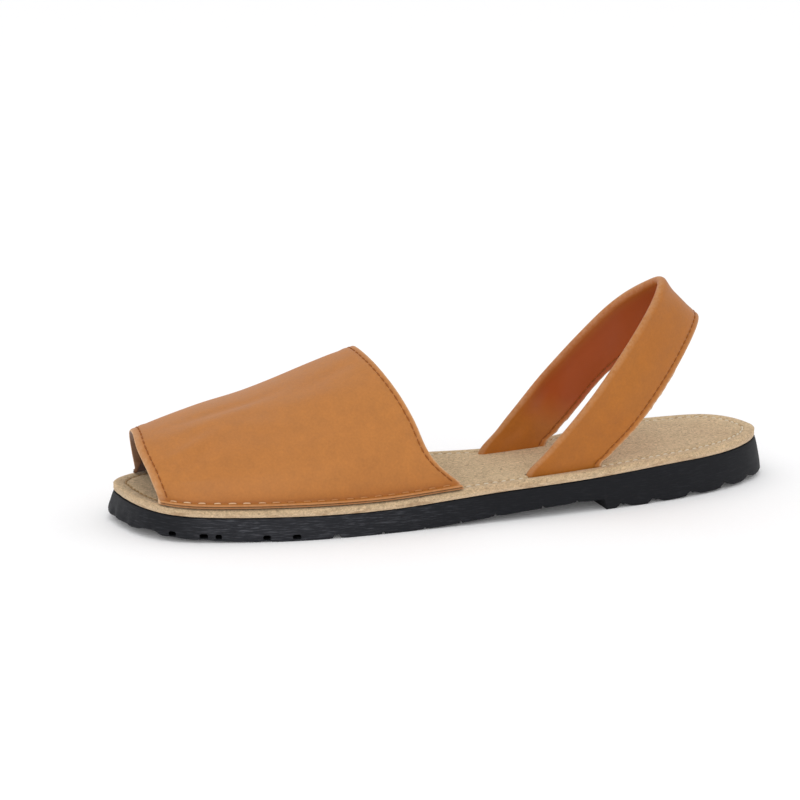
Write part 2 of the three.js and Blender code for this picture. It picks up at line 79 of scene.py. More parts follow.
def follow(rows):
    """Batten curve through (place, value) rows, held level beyond the ends."""
    x, y = np.array(rows, float).T
    last = len(x) - 1
    bend, load = np.zeros(last + 1), np.zeros(last + 1)
    for i in range(1, last):
        span = x[i + 1] - x[i - 1]
        share = (x[i] - x[i - 1]) / span
        pivot = share * bend[i - 1] + 2
        kink = (y[i + 1] - y[i]) / (x[i + 1] - x[i]) - (y[i] - y[i - 1]) / (x[i] - x[i - 1])
        bend[i] = (share - 1) / pivot
        load[i] = (6 * kink / span - share * load[i - 1]) / pivot
    for i in range(last - 1, -1, -1):
        bend[i] = bend[i] * bend[i + 1] + load[i]

    def read(at):
        t = np.clip(at, x[0], x[last])
        k = np.clip(np.searchsorted(x, t), 1, last)
        h = x[k] - x[k - 1]
        a, b = (x[k] - t) / h, (t - x[k - 1]) / h
        return a * y[k - 1] + b * y[k] + ((a**3 - a) * bend[k - 1] + (b**3 - b) * bend[k]) * h * h / 6

    return read


# turn from heel tip to toe tip in degrees, the width the row follows, and both half outlines as shares
OUTLINE = [
    (0, HEEL_WIDTH, 0, 0), (20, HEEL_WIDTH, 0.248, -0.366), (40, HEEL_WIDTH, 0.461, -0.481),
    (60, HEEL_WIDTH, 0.598, -0.395), (80, WAIST_WIDTH, 0.730, -0.255), (100, BALL_WIDTH, 0.486, -0.338),
    (120, BALL_WIDTH, 0.486, -0.514), (140, BALL_WIDTH, 0.396, -0.462), (160, BALL_WIDTH, 0.233, -0.315),
    (180, BALL_WIDTH, -0.145, -0.145),
]
# place along the foot, the height the row follows, and the share of it
DECK = [
    (-0.50, FORE_HEIGHT, 1.22), (-0.42, FORE_HEIGHT, 1.065), (-0.32, FORE_HEIGHT, 1.02),
    (-0.22, FORE_HEIGHT, 0.99), (-0.14, FORE_HEIGHT, 1.0), (-0.06, FORE_HEIGHT, 1.12),
    (0.02, HEEL_HEIGHT, 0.76), (0.108, HEEL_HEIGHT, 0.82), (0.20, HEEL_HEIGHT, 0.89),
    (0.30, HEEL_HEIGHT, 0.975), (0.40, HEEL_HEIGHT, 1.005), (0.50, HEEL_HEIGHT, 1.09),
]
ARCH = [(-0.096, 0), (-0.056, 0.18), (0, 0.43), (0.08, 0.78), (0.16, 0.97), (0.20, 1)]
TOE_FLAT_END, ARCH_START, HEEL_BREAST, HEEL_FLAT_END = -0.296, -0.096, 0.196, 0.272

outer_edge = follow([(turn, size * outer) for turn, size, outer, _ in OUTLINE])
inner_edge = follow([(turn, size * inner) for turn, size, _, inner in OUTLINE])
deck_along = follow([(along, size * high) for along, size, high in DECK])
arch_along = follow(ARCH)


def turn_at(y):
    return np.degrees(np.arccos(np.clip(np.asarray(y) / HALF_LENGTH, -1, 1)))


def deck_height(y):
    return deck_along(np.asarray(y) / FOOT_LENGTH)


def footbed_top(y):
    return deck_height(y) + FIT_GAP + FOOTBED_THICKNESS


def sole_under(y):
    """Underside of the rubber without the heel: toe spring, forefoot flat, arch."""
    along = np.asarray(y, float) / FOOT_LENGTH
    toe = TOE_SPRING * (np.maximum(TOE_FLAT_END - along, 0) / (TOE_FLAT_END + 0.5)) ** 1.6
    arch = ARCH_RISE * arch_along(np.maximum(along, ARCH_START))
    return toe + np.where(along > ARCH_START, arch, 0)


def heel_under(y):
    share = (np.asarray(y, float) / FOOT_LENGTH - HEEL_FLAT_END) / (0.5 - HEEL_FLAT_END)
    return HEEL_LIFT * np.maximum(share, 0)


def outline_point(turn, side, inset=0.0):
    """A point of the plan outline, moved in from the footbed's edge by inset."""
    edge = outer_edge if side > 0 else inner_edge

    def place(angle):
        return np.array([edge(angle), HALF_LENGTH * np.cos(np.radians(angle))], float)

    here = place(turn)
    if turn <= 0 or turn >= 180:
        return here - np.array([0, inset if turn <= 0 else -inset])
    run = place(min(turn + 1, 180)) - place(max(turn - 1, 0))
    run /= np.hypot(*run)
    return here - np.array([-side * run[1], side * run[0]]) * inset


print("ball is", round(float(outer_edge(120) - inner_edge(120)), 1), "mm wide at its station")

# %% [markdown]
# Blender takes a mesh as a list of corners and a list of faces. Every piece here is built that way from
# grids of points, because a leather or rubber form that follows a last is easier to say as rows of a
# curve than to push and pull by hand. Light falls softly over the faces, except where two of them meet
# at a sharp angle, as along a cut edge.

# %% Mesh helpers


def shade(mesh, crease_deg=None):
    """Light falls softly over the faces, apart from where two meet at more than crease_deg."""
    mesh.shade_smooth()
    if crease_deg:
        mesh.set_sharp_from_angle(angle=math.radians(crease_deg))


def face_outward(mesh):
    """Turns all faces of a closed mesh out, by the sign of the volume they enclose."""
    mesh.calc_loop_triangles()
    corners = np.empty(len(mesh.loop_triangles) * 3, np.int64)
    mesh.loop_triangles.foreach_get("vertices", corners)
    place = np.empty(len(mesh.vertices) * 3)
    mesh.vertices.foreach_get("co", place)
    a, b, c = place.reshape(-1, 3)[corners.reshape(-1, 3)].transpose(1, 0, 2)
    if np.einsum("ij,ij->i", a, np.cross(b, c)).sum() < 0:
        mesh.flip_normals()


def add_piece(name, points, faces, crease_deg=None):
    mesh = bpy.data.meshes.new(name)
    mesh.from_pydata([tuple(p) for p in to_row(points)], [], [tuple(f) for f in faces])
    mesh.validate()
    mesh.update()
    piece = bpy.data.objects.new(name, mesh)
    bpy.context.scene.collection.objects.link(piece)
    face_outward(mesh)
    shade(mesh, crease_deg)
    print(name, len(mesh.vertices), "corners", len(mesh.polygons), "faces")
    return piece


def draft_corners(piece):
    """A piece's corners in millimetres of the draft."""
    place = np.empty(len(piece.data.vertices) * 3)
    piece.data.vertices.foreach_get("co", place)
    return place.reshape(-1, 3) * 1000 - SHIFT


def paint(piece, name, values):
    """Stores one number per corner of the mesh, for the finish to read; corners past the list get none."""
    full = np.zeros(len(piece.data.vertices))
    full[:len(values)] = values
    piece.data.attributes.new(name, "FLOAT", "POINT").data.foreach_set("value", full)


def apply_modifiers(piece):
    """Keeps the shape that the piece's modifiers give, and drops the modifiers."""
    ready = piece.evaluated_get(bpy.context.evaluated_depsgraph_get())
    mesh = bpy.data.meshes.new_from_object(ready)
    old = piece.data
    piece.modifiers.clear()
    piece.data = mesh
    mesh.name = piece.name
    bpy.data.meshes.remove(old)


def wrap_faces(rows, around):
    """Quads between stacked rings of the same count."""
    faces = []
    for k in range(rows - 1):
        for i in range(around):
            a, b = k * around + i, k * around + (i + 1) % around
            faces.append((a, b, b + around, a + around))
    return faces


def cap_faces(start, count, steps, flip=False):
    """Strips across the foot between the outer and the inner half of one ring."""
    faces = []
    for i in range(steps - 1):
        ring = tuple(dict.fromkeys(start + p for p in (i, i + 1, count - i - 1, (count - i) % count)))
        faces.append(ring[::-1] if flip else ring)
    return faces


def ripple(x, y, z, scale, seed):
    """Smooth wandering value between about -1 and 1, from a few slow waves."""
    rng = random.Random(seed)
    total = 0.0
    for _ in range(6):
        kx, ky, kz = (rng.uniform(-1, 1) * scale for _ in range(3))
        total = total + np.sin(kx * x + ky * y + kz * z + rng.uniform(0, 6.28))
    return total / 3.0


def bell(distance, reach):
    """Soft hump, 1 at no distance and gone at about twice the reach."""
    return np.exp(-((distance / reach) ** 2))


def ease(share):
    """Soft step from 0 to 1."""
    return share**2 * (3 - 2 * share)


def unit(vectors):
    """One vector or an array of them, each brought to a length of one."""
    return vectors / np.maximum(np.linalg.norm(vectors, axis=-1, keepdims=True), 1e-9)


def distance_gone(points):
    """How far along a line of points each of them is."""
    return np.concatenate([[0], np.cumsum(np.linalg.norm(np.diff(points, axis=0), axis=1))])


# %% [markdown]
# The outsole is one moulding of black rubber. On the real shoe its side is ground flush with the
# footbed after gluing, so the wall carries fine lines along the shoe and wanders by a tenth of a
# millimetre, and the tread shows as steps and notches along the lower edge. It could be carved from a
# block with booleans alone. Here a loft gives the body, with the heel's front as a steep stretch of the
# underside, and only the notches are cut.

# %% Outsole body
SOLE_TURNS = 420
# the heel's front starts this far ahead of its place and falls over this run
BREAST_AHEAD, BREAST_RUN = 0.9, 1.3
breast_y = HEEL_BREAST * FOOT_LENGTH
# place along the foot and height in millimetres of the rounding beside each notch, its reach, and the worn toe
LUG_ENDS = [(along, 1.15) for along in (0.228, 0.283, 0.350, 0.414, 0.465)]
LUG_ENDS += [(along, 0.35) for along in (-0.452, -0.412, -0.326, -0.226, -0.092, 0.018, 0.149)]
LUG_REACH = 2.6
WORN_PLACE, WORN_REACH, WORN_HIGH = -119.6, 2.6, 1.2


def whole_under(y):
    """Underside with the heel, whose front is a steep stretch of it."""
    y = np.asarray(y, float)
    drop = np.clip((y - (breast_y - BREAST_AHEAD)) / BREAST_RUN, 0, 1)
    round_off = sum(high * bell(y - along * FOOT_LENGTH, LUG_REACH) for along, high in LUG_ENDS)
    round_off = round_off + WORN_HIGH * np.exp(-(((y - WORN_PLACE) / WORN_REACH) ** 4))
    return sole_under(y) * (1 - drop) + heel_under(y) * drop + round_off


def flare_at(turn):
    """How far the side stands out at a turn, most at the heel's and the toe's tip."""
    lean = math.cos(math.radians(turn))
    return SOLE_FLARE * (1 + max(0.0, lean) ** 6 + 0.9 * max(0.0, -lean) ** 10)


def sole_turns():
    extra = [float(turn_at(breast_y + d)) for d in (-BREAST_AHEAD, -BREAST_AHEAD / 2, 0.0, 0.4)]
    return sorted({*np.linspace(0, 180, SOLE_TURNS + 1), *extra})


def sole_rings(levels):
    """Points of stacked outlines: each level gives an inset for a turn and a height for a place."""
    turns = sole_turns()
    path = [(t, 1) for t in turns] + [(t, -1) for t in turns[-2:0:-1]]
    rings = []
    for inset, height in levels:
        ring = []
        for turn, side in path:
            x, y = outline_point(turn, side, inset(turn, side))
            ring.append((x, y, float(height(y))))
        rings.append(ring)
    return np.array(rings), len(turns)


def wall(share, part):
    """A level of the sole's side at a share of its height, wandering a little as a ground edge does."""

    def inset(turn, side):
        wander = 0.13 * ripple(turn * 0.9, side * 3.0, share * 5.0, 0.16, 5)
        toe = max(0.0, -math.cos(math.radians(turn))) ** 8 * (1 - share)
        wander += 0.30 * toe * ripple(turn * 2.2, side * 3.0, share * 9.0, 0.9, 6)
        return -part * flare_at(turn) + wander

    def height(y):
        low = whole_under(y)
        return low + (deck_height(y) - low) * share

    return inset, height


# share of the side's height, and the share of the flare that it stands out by there
SOLE_WALL = [(0.0, 0.62), (0.035, 0.86), (0.09, 1.0), (0.3, 0.86), (0.5, 0.66), (0.7, 0.44),
             (0.88, 0.2), (0.97, 0.05), (1.0, -0.25)]
rings, sole_steps = sole_rings([wall(share, part) for share, part in SOLE_WALL])
around = rings.shape[1]
sole_faces = wrap_faces(len(SOLE_WALL), around)
sole_faces += cap_faces(0, around, sole_steps, flip=True)
sole_faces += cap_faces((len(SOLE_WALL) - 1) * around, around, sole_steps)
outsole = add_piece("outsole_rubber", rings.reshape(-1, 3), sole_faces)

# %% [markdown]
# The tread's side steps are moulded notches. Each cutter is a short prism with sloping sides, wider at
# the ground, as a mould needs so that the rubber comes out. The heel's grooves run right across and
# have rounder sides, which leaves the lugs with the soft corners the photograph shows.

# %% Tread notches
# place along the foot, share of the groove's width, share of the way in to the middle, slant
SIDE_STEPS = [
    (-0.476, 0.7, 0.35, 0.3), (-0.452, 1.0, 0.55, 0.25), (-0.412, 1.2, 0.5, 0.22), (-0.392, 0.9, 0.5, 0.2),
    (-0.326, 1.1, 0.45, 0.18), (-0.284, 1.2, 0.4, 0.15), (-0.226, 1.2, 0.45, 0.12), (-0.156, 0.9, 0.45, 0.1),
    (-0.092, 0.8, 0.5, 0.1), (-0.036, 0.8, 0.5, 0.1), (0.018, 0.9, 0.5, 0.12), (0.094, 0.9, 0.5, 0.12),
    (0.149, 0.9, 0.5, 0.12),
]
# shares of a groove's width and depth on the forefoot, and from the arch's first step on
FORE_SHARES, ARCH_SHARES, ARCH_STEPS_FROM = (0.8, 0.75), (0.5, 0.5), -0.2
# steps of the forefoot that stay closed at the ground and show as dark pits: their widening, top and height
CLOSED_STEPS = (-0.452, -0.412, -0.392, -0.326, -0.284)
PIT_WIDER, PIT_TOP, PIT_HEIGHT = 1.2, 2.5, 1.7
# how far a cutter starts outside the rubber
OUTSIDE = 3.6
# place along the foot, shares of the groove's width and of the lug's depth
HEEL_GROOVES = [(0.228, 0.65, 0.75), (0.283, 0.85, 0.7), (0.350, 0.8, 0.75), (0.414, 0.9, 0.85),
                (0.465, 0.8, 0.85)]


def prism(path, section):
    """Closed bar with one section moved along a path of (x, y, z) offsets."""
    points = [(x, y + v, w + z) for x, y, z in path for v, w in section]
    count = len(section)
    faces = wrap_faces(len(path), count)
    faces += [tuple(range(count))[::-1], tuple((len(path) - 1) * count + i for i in range(count))]
    return points, faces


def mirrored(half, flank):
    """Both flanks of a section, from one flank's (share of half the width, height) pairs."""
    return [(-share * half, high) for share, high in flank] + [(share * half, high) for share, high in flank[::-1]]


def make_cutters():
    bars = []
    for along, wide, reach, slant in SIDE_STEPS:
        y = along * FOOT_LENGTH
        width_share, depth_share = ARCH_SHARES if along > ARCH_STEPS_FROM else FORE_SHARES
        half = GROOVE_WIDTH * wide / 2 * width_share
        root = float(sole_under(y)) + GROOVE_DEPTH * depth_share
        section = mirrored(half, [(1.45, -1), (1, root - 0.4), (0.7, root)])
        if along in CLOSED_STEPS:
            root = float(sole_under(y)) + PIT_TOP
            section = mirrored(PIT_WIDER * half, [(0.9, root - PIT_HEIGHT), (1, root - 0.5), (0.6, root)])
        edges = float(outer_edge(turn_at(y))), float(inner_edge(turn_at(y)))
        for side, edge in zip((1, -1), edges):
            start, end = edge + side * OUTSIDE, edge + (sum(edges) / 2 - edge) * reach
            path = [(x, y + slant * (abs(x - start) - 3), 0) for x in sorted((start, end))]
            bars.append(prism(path, section))
    for along, wide, deep in HEEL_GROOVES:
        y = along * FOOT_LENGTH
        half = GROOVE_WIDTH * wide / 2
        root = float(heel_under(y)) + LUG_DEPTH * deep
        section = [(-2.2 * half, -1), (-1.5 * half, 0.35 * root), (-0.9 * half, 0.8 * root), (-0.4 * half, root),
                   (0.4 * half, root), (0.9 * half, 0.8 * root), (1.3 * half, 0.35 * root), (1.7 * half, -1)]
        path = [(x, y - 0.045 * abs(x) + 0.4 * math.sin(x * 0.35), 0) for x in np.linspace(-50, 50, 21)]
        bars.append(prism(path, section))
    return bars


def cut_with(piece, bars):
    points, faces = [], []
    for bar_points, bar_faces in bars:
        start = len(points)
        points += bar_points
        faces += [tuple(start + i for i in f) for f in bar_faces]
    cutter = add_piece("cutter", points, faces)
    cut = piece.modifiers.new("cut", "BOOLEAN")
    cut.operation, cut.solver, cut.object = "DIFFERENCE", "EXACT", cutter
    cut.use_self = True
    apply_modifiers(piece)
    bpy.data.objects.remove(cutter)


cut_with(outsole, make_cutters())
soften = outsole.modifiers.new("soft_edges", "BEVEL")
soften.width, soften.segments = 0.0003, 2
soften.limit_method, soften.angle_limit = "ANGLE", math.radians(48)
soften.use_clamp_overlap = True
apply_modifiers(outsole)
shade(outsole.data, 40)
print("outsole has", len(outsole.data.polygons), "faces after the tread is cut")

# %% [markdown]
# The footbed is a split leather board with its suede side up, stitched down all round. A board could be
# a flat slab with a texture, but its edge is cut by hand: the top corner rolls over, the sewing pulls a
# shallow channel into the suede, and each strap end presses its slot open. So its top is a real grid
# that carries the channel and small dents.

# %% Footbed board
STITCH_INSET = 4.6
BED_INSETS = [0.0, 0.25, 0.6, 1.1, 1.8, 2.6, 3.4, 3.9, 4.2, 4.45, 4.6, 4.75, 5.0, 5.3, 5.8, 6.6, 7.6]
BED_ACROSS = 26
# share of the edge's height, from the top down, and how far in the cut wanders there
BED_WALL = [(0.72, 0.02), (0.5, 0.05), (0.3, -0.02), (0.12, 0.08), (0.0, 0.25)]


def suede_lift(x, y, inset):
    """Height added to the board's flat top: rolled rim, sewing channel and soft wear."""
    rim = -0.55 * math.exp(-inset / 0.45)
    sewing = -0.42 * bell(inset - STITCH_INSET, 0.42) - 0.22 * bell(inset - STITCH_INSET, 1.5)
    wear = 0.10 * ripple(x, y, 0.0, 0.18, 11) + 0.05 * ripple(x, y, 0.0, 0.7, 12)
    return rim + sewing + wear * min(1.0, inset / 2.0)


def make_board():
    rows = []
    for turn in np.linspace(0, 180, 181):
        row = []
        for side in (1, -1):
            wander = 0.14 * ripple(turn * 1.3, side * 4.0, 0.0, 0.22, 21)
            half = []
            for inset in BED_INSETS:
                x, y = outline_point(turn, side, inset + wander)
                half.append((x, y, float(footbed_top(y)) + suede_lift(x, y, inset)))
            row.append(half)
        outer, inner = np.array(row[0]), np.array(row[1])[::-1]
        share = np.linspace(0, 1, BED_ACROSS + 2)[1:-1, None]
        middle = outer[-1] * (1 - share) + inner[0] * share
        for p in middle:
            p[2] = float(footbed_top(p[1])) + suede_lift(p[0], p[1], 12.0)
        rows.append(np.vstack([outer, middle, inner]))
    top = np.array(rows)
    steps, wide = top.shape[:2]
    # the rim of the top is the loop down the outer side and back up the inner side
    loop = [(i, 0) for i in range(steps)] + [(i, wide - 1) for i in range(steps - 2, 0, -1)]
    return top, steps, wide, loop


bed_top, bed_steps, bed_wide, bed_loop = make_board()


def board_mesh():
    """The top grid welded to a wall below its rim, and a plain underside."""
    points, index = [], {}

    def corner(key, place):
        if key not in index:
            index[key] = len(points)
            points.append(place)
        return index[key]

    def top_key(i, j):
        if i in (0, bed_steps - 1):  # the tips: both sides share their points
            j = min(j, bed_wide - 1 - j, len(BED_INSETS) - 1)
        return ("top", i, j)

    faces = []
    for i in range(bed_steps - 1):
        for j in range(bed_wide - 1):
            ring = ((i, j), (i + 1, j), (i + 1, j + 1), (i, j + 1))
            ring = tuple(dict.fromkeys(corner(top_key(a, b), bed_top[a, b]) for a, b in ring))
            if len(ring) > 2:
                faces.append(ring)
    loop = bed_loop
    previous = [corner(top_key(i, j), None) for i, j in loop]
    for level, (share, inset) in enumerate(BED_WALL):
        current = []
        for n, (i, j) in enumerate(loop):
            x, y, _ = bed_top[i, j]
            before, after = bed_top[loop[n - 1]], bed_top[loop[(n + 1) % len(loop)]]
            run = unit(after[:2] - before[:2])
            inward = np.array([run[1], -run[0]])
            rough = 0.07 * ripple(x, y, share * 9, 0.9, 31)
            x, y = np.array([x, y]) + inward * (inset + rough)
            z = float(deck_height(y)) + FIT_GAP + share * FOOTBED_THICKNESS
            current.append(corner(("wall", level, n), (x, y, z)))
        for n in range(len(loop)):
            m = (n + 1) % len(loop)
            faces.append((previous[n], previous[m], current[m], current[n]))
        previous = current
    faces += [tuple(previous[p] for p in face) for face in cap_faces(0, len(loop), bed_steps)]
    return points, faces


board_points, board_faces = board_mesh()
footbed = add_piece("footbed_suede", board_points, board_faces, crease_deg=60)

# %% [markdown]
# The vamp is a single piece of smooth leather, lasted over the forefoot. Its long edges turn outward into
# a narrow flange that lies on the footbed, and its two open edges are folded under and sewn. It could be
# a flat sheet draped by a cloth simulation, but the last is known section by section, so the skin is
# lofted over it: each stop of a section runs from the toe opening to the throat.

# %% Sections of the vamp
# place along the foot, ridge's side share of the ball width, ridge's rise, share of the footbed's ledge
RIDGE = [
    (-0.48, -0.11, -0.031, -2), (-0.425, -0.11, 0.112, -0.8), (-0.356, -0.11, 0.274, 0.5), (-0.296, -0.105, 0.398, 1),
    (-0.211, -0.1, 0.691, 1), (-0.13, -0.09, 0.992, 1), (-0.02, -0.08, 1.222, 1),
]
# share of the way over from the outer base, toe opening's and throat's place along the foot
EDGES = [
    (0, -0.4656, -0.0325), (0.05, -0.4693, -0.0645), (0.15, -0.475, -0.091), (0.3, -0.4804, -0.1159),
    (0.5, -0.4753, -0.1311), (0.7, -0.4707, -0.1159), (0.85, -0.4641, -0.091), (0.95, -0.4587, -0.0645),
    (1, -0.4554, -0.036),
]
OUTER_SQUARENESS, INNER_SQUARENESS = 2.05, 2.3
ridge_side = follow([(a, s) for a, s, _, _ in RIDGE])
ridge_rise = follow([(a, r) for a, _, r, _ in RIDGE])
ledge_share = follow([(a, l) for a, _, _, l in RIDGE])
toe_edge = follow([(o, t) for o, t, _ in EDGES])
throat_edge = follow([(o, t) for o, _, t in EDGES])

ARCH_STOPS = 110
FLANGE_STOPS = 9


def vamp_section(y):
    """Outer skin of the section at a place: flange, wall, ridge, wall, flange."""
    turn, along = float(turn_at(y)), y / FOOT_LENGTH
    skin = float(footbed_top(y)) + FIT_GAP + VAMP_THICKNESS
    foot = skin + 0.25 * VAMP_THICKNESS
    ridge_x = float(ridge_side(along)) * BALL_WIDTH
    ridge_z = TOE_HEIGHT + float(ridge_rise(along)) * (INSTEP_HEIGHT - TOE_HEIGHT)

    def base(side):
        edge = float(outer_edge(turn) if side > 0 else inner_edge(turn))
        ledge = float(ledge_share(along)) if side > 0 else 1.0
        return edge - side * (FLANGE_WIDTH + FOOTBED_LEDGE * ledge)

    def flange(side):
        x = base(side)
        trimmed = FLANGE_WIDTH * (1.0 if side > 0 else min(max((y + 114.5) / 9.0, 0.35), 1.0))
        flat = [(x + side * w, skin) for w in np.linspace(trimmed, 0.35 * VAMP_THICKNESS, FLANGE_STOPS)]
        bend = [(x + side * a * VAMP_THICKNESS, skin + b * VAMP_THICKNESS)
                for a, b in ((0.2, 0.02), (0.1, 0.06), (0.03, 0.14))]
        return flat + bend

    angles = np.linspace(0, math.pi, ARCH_STOPS + 1)
    section = flange(1)
    for angle in angles:
        side = 1 if angle <= math.pi / 2 else -1
        power = 2 / (OUTER_SQUARENESS if side > 0 else INNER_SQUARENESS)
        c, s = abs(math.cos(angle)) ** power, max(0.0, math.sin(angle)) ** power
        section.append((ridge_x + (base(side) - ridge_x) * c, foot + (ridge_z - foot) * s))
    section += flange(-1)[::-1]
    return np.array(section)


VAMP_STOPS = len(vamp_section(-60.0))
FLANGE_COUNT = FLANGE_STOPS + 3
# rows of the grid: close together by each open edge, where the fold and the sewing are
NEAR = list(np.arange(0, 1.2, 0.3)) + list(np.arange(1.2, 3.8, 0.17)) + list(np.arange(3.8, 11.0, 0.8))
MIDDLE_ROWS = 56


def vamp_rows(toe, throat):
    """Places along the foot of one stop's rows, from its toe opening to its throat."""
    first, last = toe + NEAR[-1] + 1.0, throat - NEAR[-1] - 1.0
    middle = np.linspace(first, last, MIDDLE_ROWS)
    return np.concatenate([toe + np.array(NEAR), middle, throat - np.array(NEAR[::-1])])


def over_at(stop):
    """A stop's share of the way over from the outer base; the flanges stay at 0 and 1."""
    return min(max((stop - FLANGE_COUNT) / (VAMP_STOPS - 1 - 2 * FLANGE_COUNT), 0), 1)


def vamp_grid():
    """Skin points, how far each is from the toe opening and from the throat, and its share over."""
    rows = len(NEAR) * 2 + MIDDLE_ROWS
    skin = np.zeros((rows, VAMP_STOPS, 3))
    from_toe, from_throat = np.zeros((rows, VAMP_STOPS)), np.zeros((rows, VAMP_STOPS))
    over = np.array([over_at(stop) for stop in range(VAMP_STOPS)])
    stations = np.linspace(-0.49 * FOOT_LENGTH, 0, 260)
    sections = np.array([vamp_section(y) for y in stations])
    for stop in range(VAMP_STOPS):
        toe, throat = float(toe_edge(over[stop])) * FOOT_LENGTH, float(throat_edge(over[stop])) * FOOT_LENGTH
        ys = vamp_rows(toe, throat)
        skin[:, stop, 0] = np.interp(ys, stations, sections[:, stop, 0])
        skin[:, stop, 1] = ys
        skin[:, stop, 2] = np.interp(ys, stations, sections[:, stop, 1])
        from_toe[:, stop], from_throat[:, stop] = ys - toe, throat - ys
    return skin, from_toe, from_throat, over


def grid_normals(grid):
    """Unit normals of a grid of points, from the run of its rows and columns, the middle one upward."""
    normal = unit(np.cross(np.gradient(grid, axis=0), np.gradient(grid, axis=1)))
    return normal * np.sign(normal[len(grid) // 2, grid.shape[1] // 2, 2])


vamp_skin, from_toe, from_throat, vamp_over = vamp_grid()
print("vamp skin grid", vamp_skin.shape[:2])

# %% [markdown]
# Leather over a hollow last never stays a clean surface. Each crease is listed: a soft trough or
# ridge with a middle on the foot, a direction, a length, a width and a height in millimetres. The fold
# along both open edges stands a little proud, and the sewing pulls a fine line into it.

# %% Creases, folds and sewing lines of the vamp
TOE_SEWING, THROAT_SEWING = 2.7, 1.8
# share over, place along the foot (mm), direction in degrees from the foot's line, length, width, height
VAMP_CREASES = [
    (0.20, -106.0, 28, 20, 5.0, -0.75), (0.27, -102.0, 34, 26, 6.5, 0.80), (0.10, -104.0, 8, 22, 5.0, 0.45),
    (0.38, -92.0, 12, 34, 8.0, 0.55), (0.44, -84.0, 4, 40, 6.0, -0.50), (0.33, -52.0, -14, 46, 11.0, 0.70),
    (0.24, -60.0, -8, 44, 12.0, -0.60), (0.42, -44.0, 6, 26, 8.0, -0.50), (0.12, -40.0, 12, 34, 9.0, 0.55),
    (0.16, -84.0, 16, 30, 7.0, -0.45), (0.30, -74.0, -22, 30, 8.0, 0.45), (0.20, -26.0, 24, 20, 6.0, -0.45),
    (0.60, -60.0, -10, 50, 9.0, 0.35), (0.70, -88.0, 10, 34, 8.0, -0.40), (0.82, -50.0, -8, 44, 9.0, 0.35),
    (0.88, -96.0, 12, 26, 6.0, 0.30), (0.75, -30.0, -20, 24, 8.0, -0.30),
]


def crease_field(x, y, shown):
    """Sum of soft strokes at (x, y), both in millimetres on the unrolled leather."""
    total = 0.0
    for cx, cy, degrees, length, width, height in shown:
        a = math.radians(degrees)
        u = (y - cy) * math.cos(a) + (x - cx) * math.sin(a)
        v = (x - cx) * math.cos(a) - (y - cy) * math.sin(a)
        total = total + height * bell(u, 0.5 * length) * bell(v, 0.5 * width)
    return total


def edge_fold(distance, sewing):
    """Raised fold beside an open edge, with the sewn line in it and the soft roll at the very edge."""
    fold = 0.26 * (1 - ease(np.clip((distance - sewing - 1.6) / 2.4, 0, 1)))
    sewn = 0.15 * bell(distance - sewing, 0.4) + 0.13 * bell(distance - sewing, 1.1)
    return fold - sewn - 0.30 * np.exp(-distance / 0.4)


# width of the unrolled leather at each stop, measured on the middle row
unrolled = distance_gone(vamp_skin[len(vamp_skin) // 2])
wall_stops = range(FLANGE_COUNT, VAMP_STOPS - FLANGE_COUNT, 6)
over_mm = follow([(vamp_over[s] + 1e-6 * s, unrolled[s]) for s in wall_stops])
shown = [(float(over_mm(over)), *stroke) for over, *stroke in VAMP_CREASES]
flat_x, flat_y = np.broadcast_to(unrolled, vamp_skin.shape[:2]), vamp_skin[..., 1]
# how many stops each one is from the nearer flange's cut edge
stop_index = np.arange(VAMP_STOPS)
from_flank = np.minimum(stop_index, VAMP_STOPS - 1 - stop_index)
on_wall = np.clip((from_flank - FLANGE_COUNT) / 3.0, 0, 1)[None, :]
nearest_edge = np.minimum(from_toe, from_throat)
lift = crease_field(flat_x, flat_y, shown)
lift = lift + 0.16 * ripple(flat_x, flat_y, 0.0, 0.10, 41) + 0.05 * ripple(flat_x, flat_y, 0.0, 0.35, 42)
lift = lift * (0.25 + 0.75 * np.clip(nearest_edge / 9.0, 0, 1))
lift = (lift + edge_fold(from_toe, TOE_SEWING) + edge_fold(from_throat, THROAT_SEWING)) * on_wall
vamp_skin = vamp_skin + grid_normals(vamp_skin) * lift[..., None]
vamp_normal = grid_normals(vamp_skin)
fold_depth = np.clip(1 - (nearest_edge - 6.0) / 0.8, 0, 1)
thickness = VAMP_THICKNESS + (RIM_THICKNESS - VAMP_THICKNESS) * fold_depth * on_wall
vamp_lining = vamp_skin - vamp_normal * thickness[..., None]
vamp_lining[..., 2] = np.maximum(vamp_lining[..., 2], footbed_top(vamp_lining[..., 1]) + FIT_GAP)
print("creases lift the skin by", round(float(lift.min()), 2), "to", round(float(lift.max()), 2), "mm")

# %% [markdown]
# The flange shows two layers of leather at its cut edge, the vamp and a thin welt under it, and the open
# edges show a rounded fold. Both are only the profile that closes the skin to the lining, so one
# function carries a profile round the rim. Values painted on the corners tell the leather finish where
# the edge is worn pale, where painted shade lies along the sewing and the flange's crease, and where it
# is darker: a dark joint between the flange's layers, with painted shade on its lowest layer and on the
# far part of the toe opening's rim.

# %% Close the vamp
SKIN, LINING, RIM = 0, 1, 2
RIM_STEPS = 8


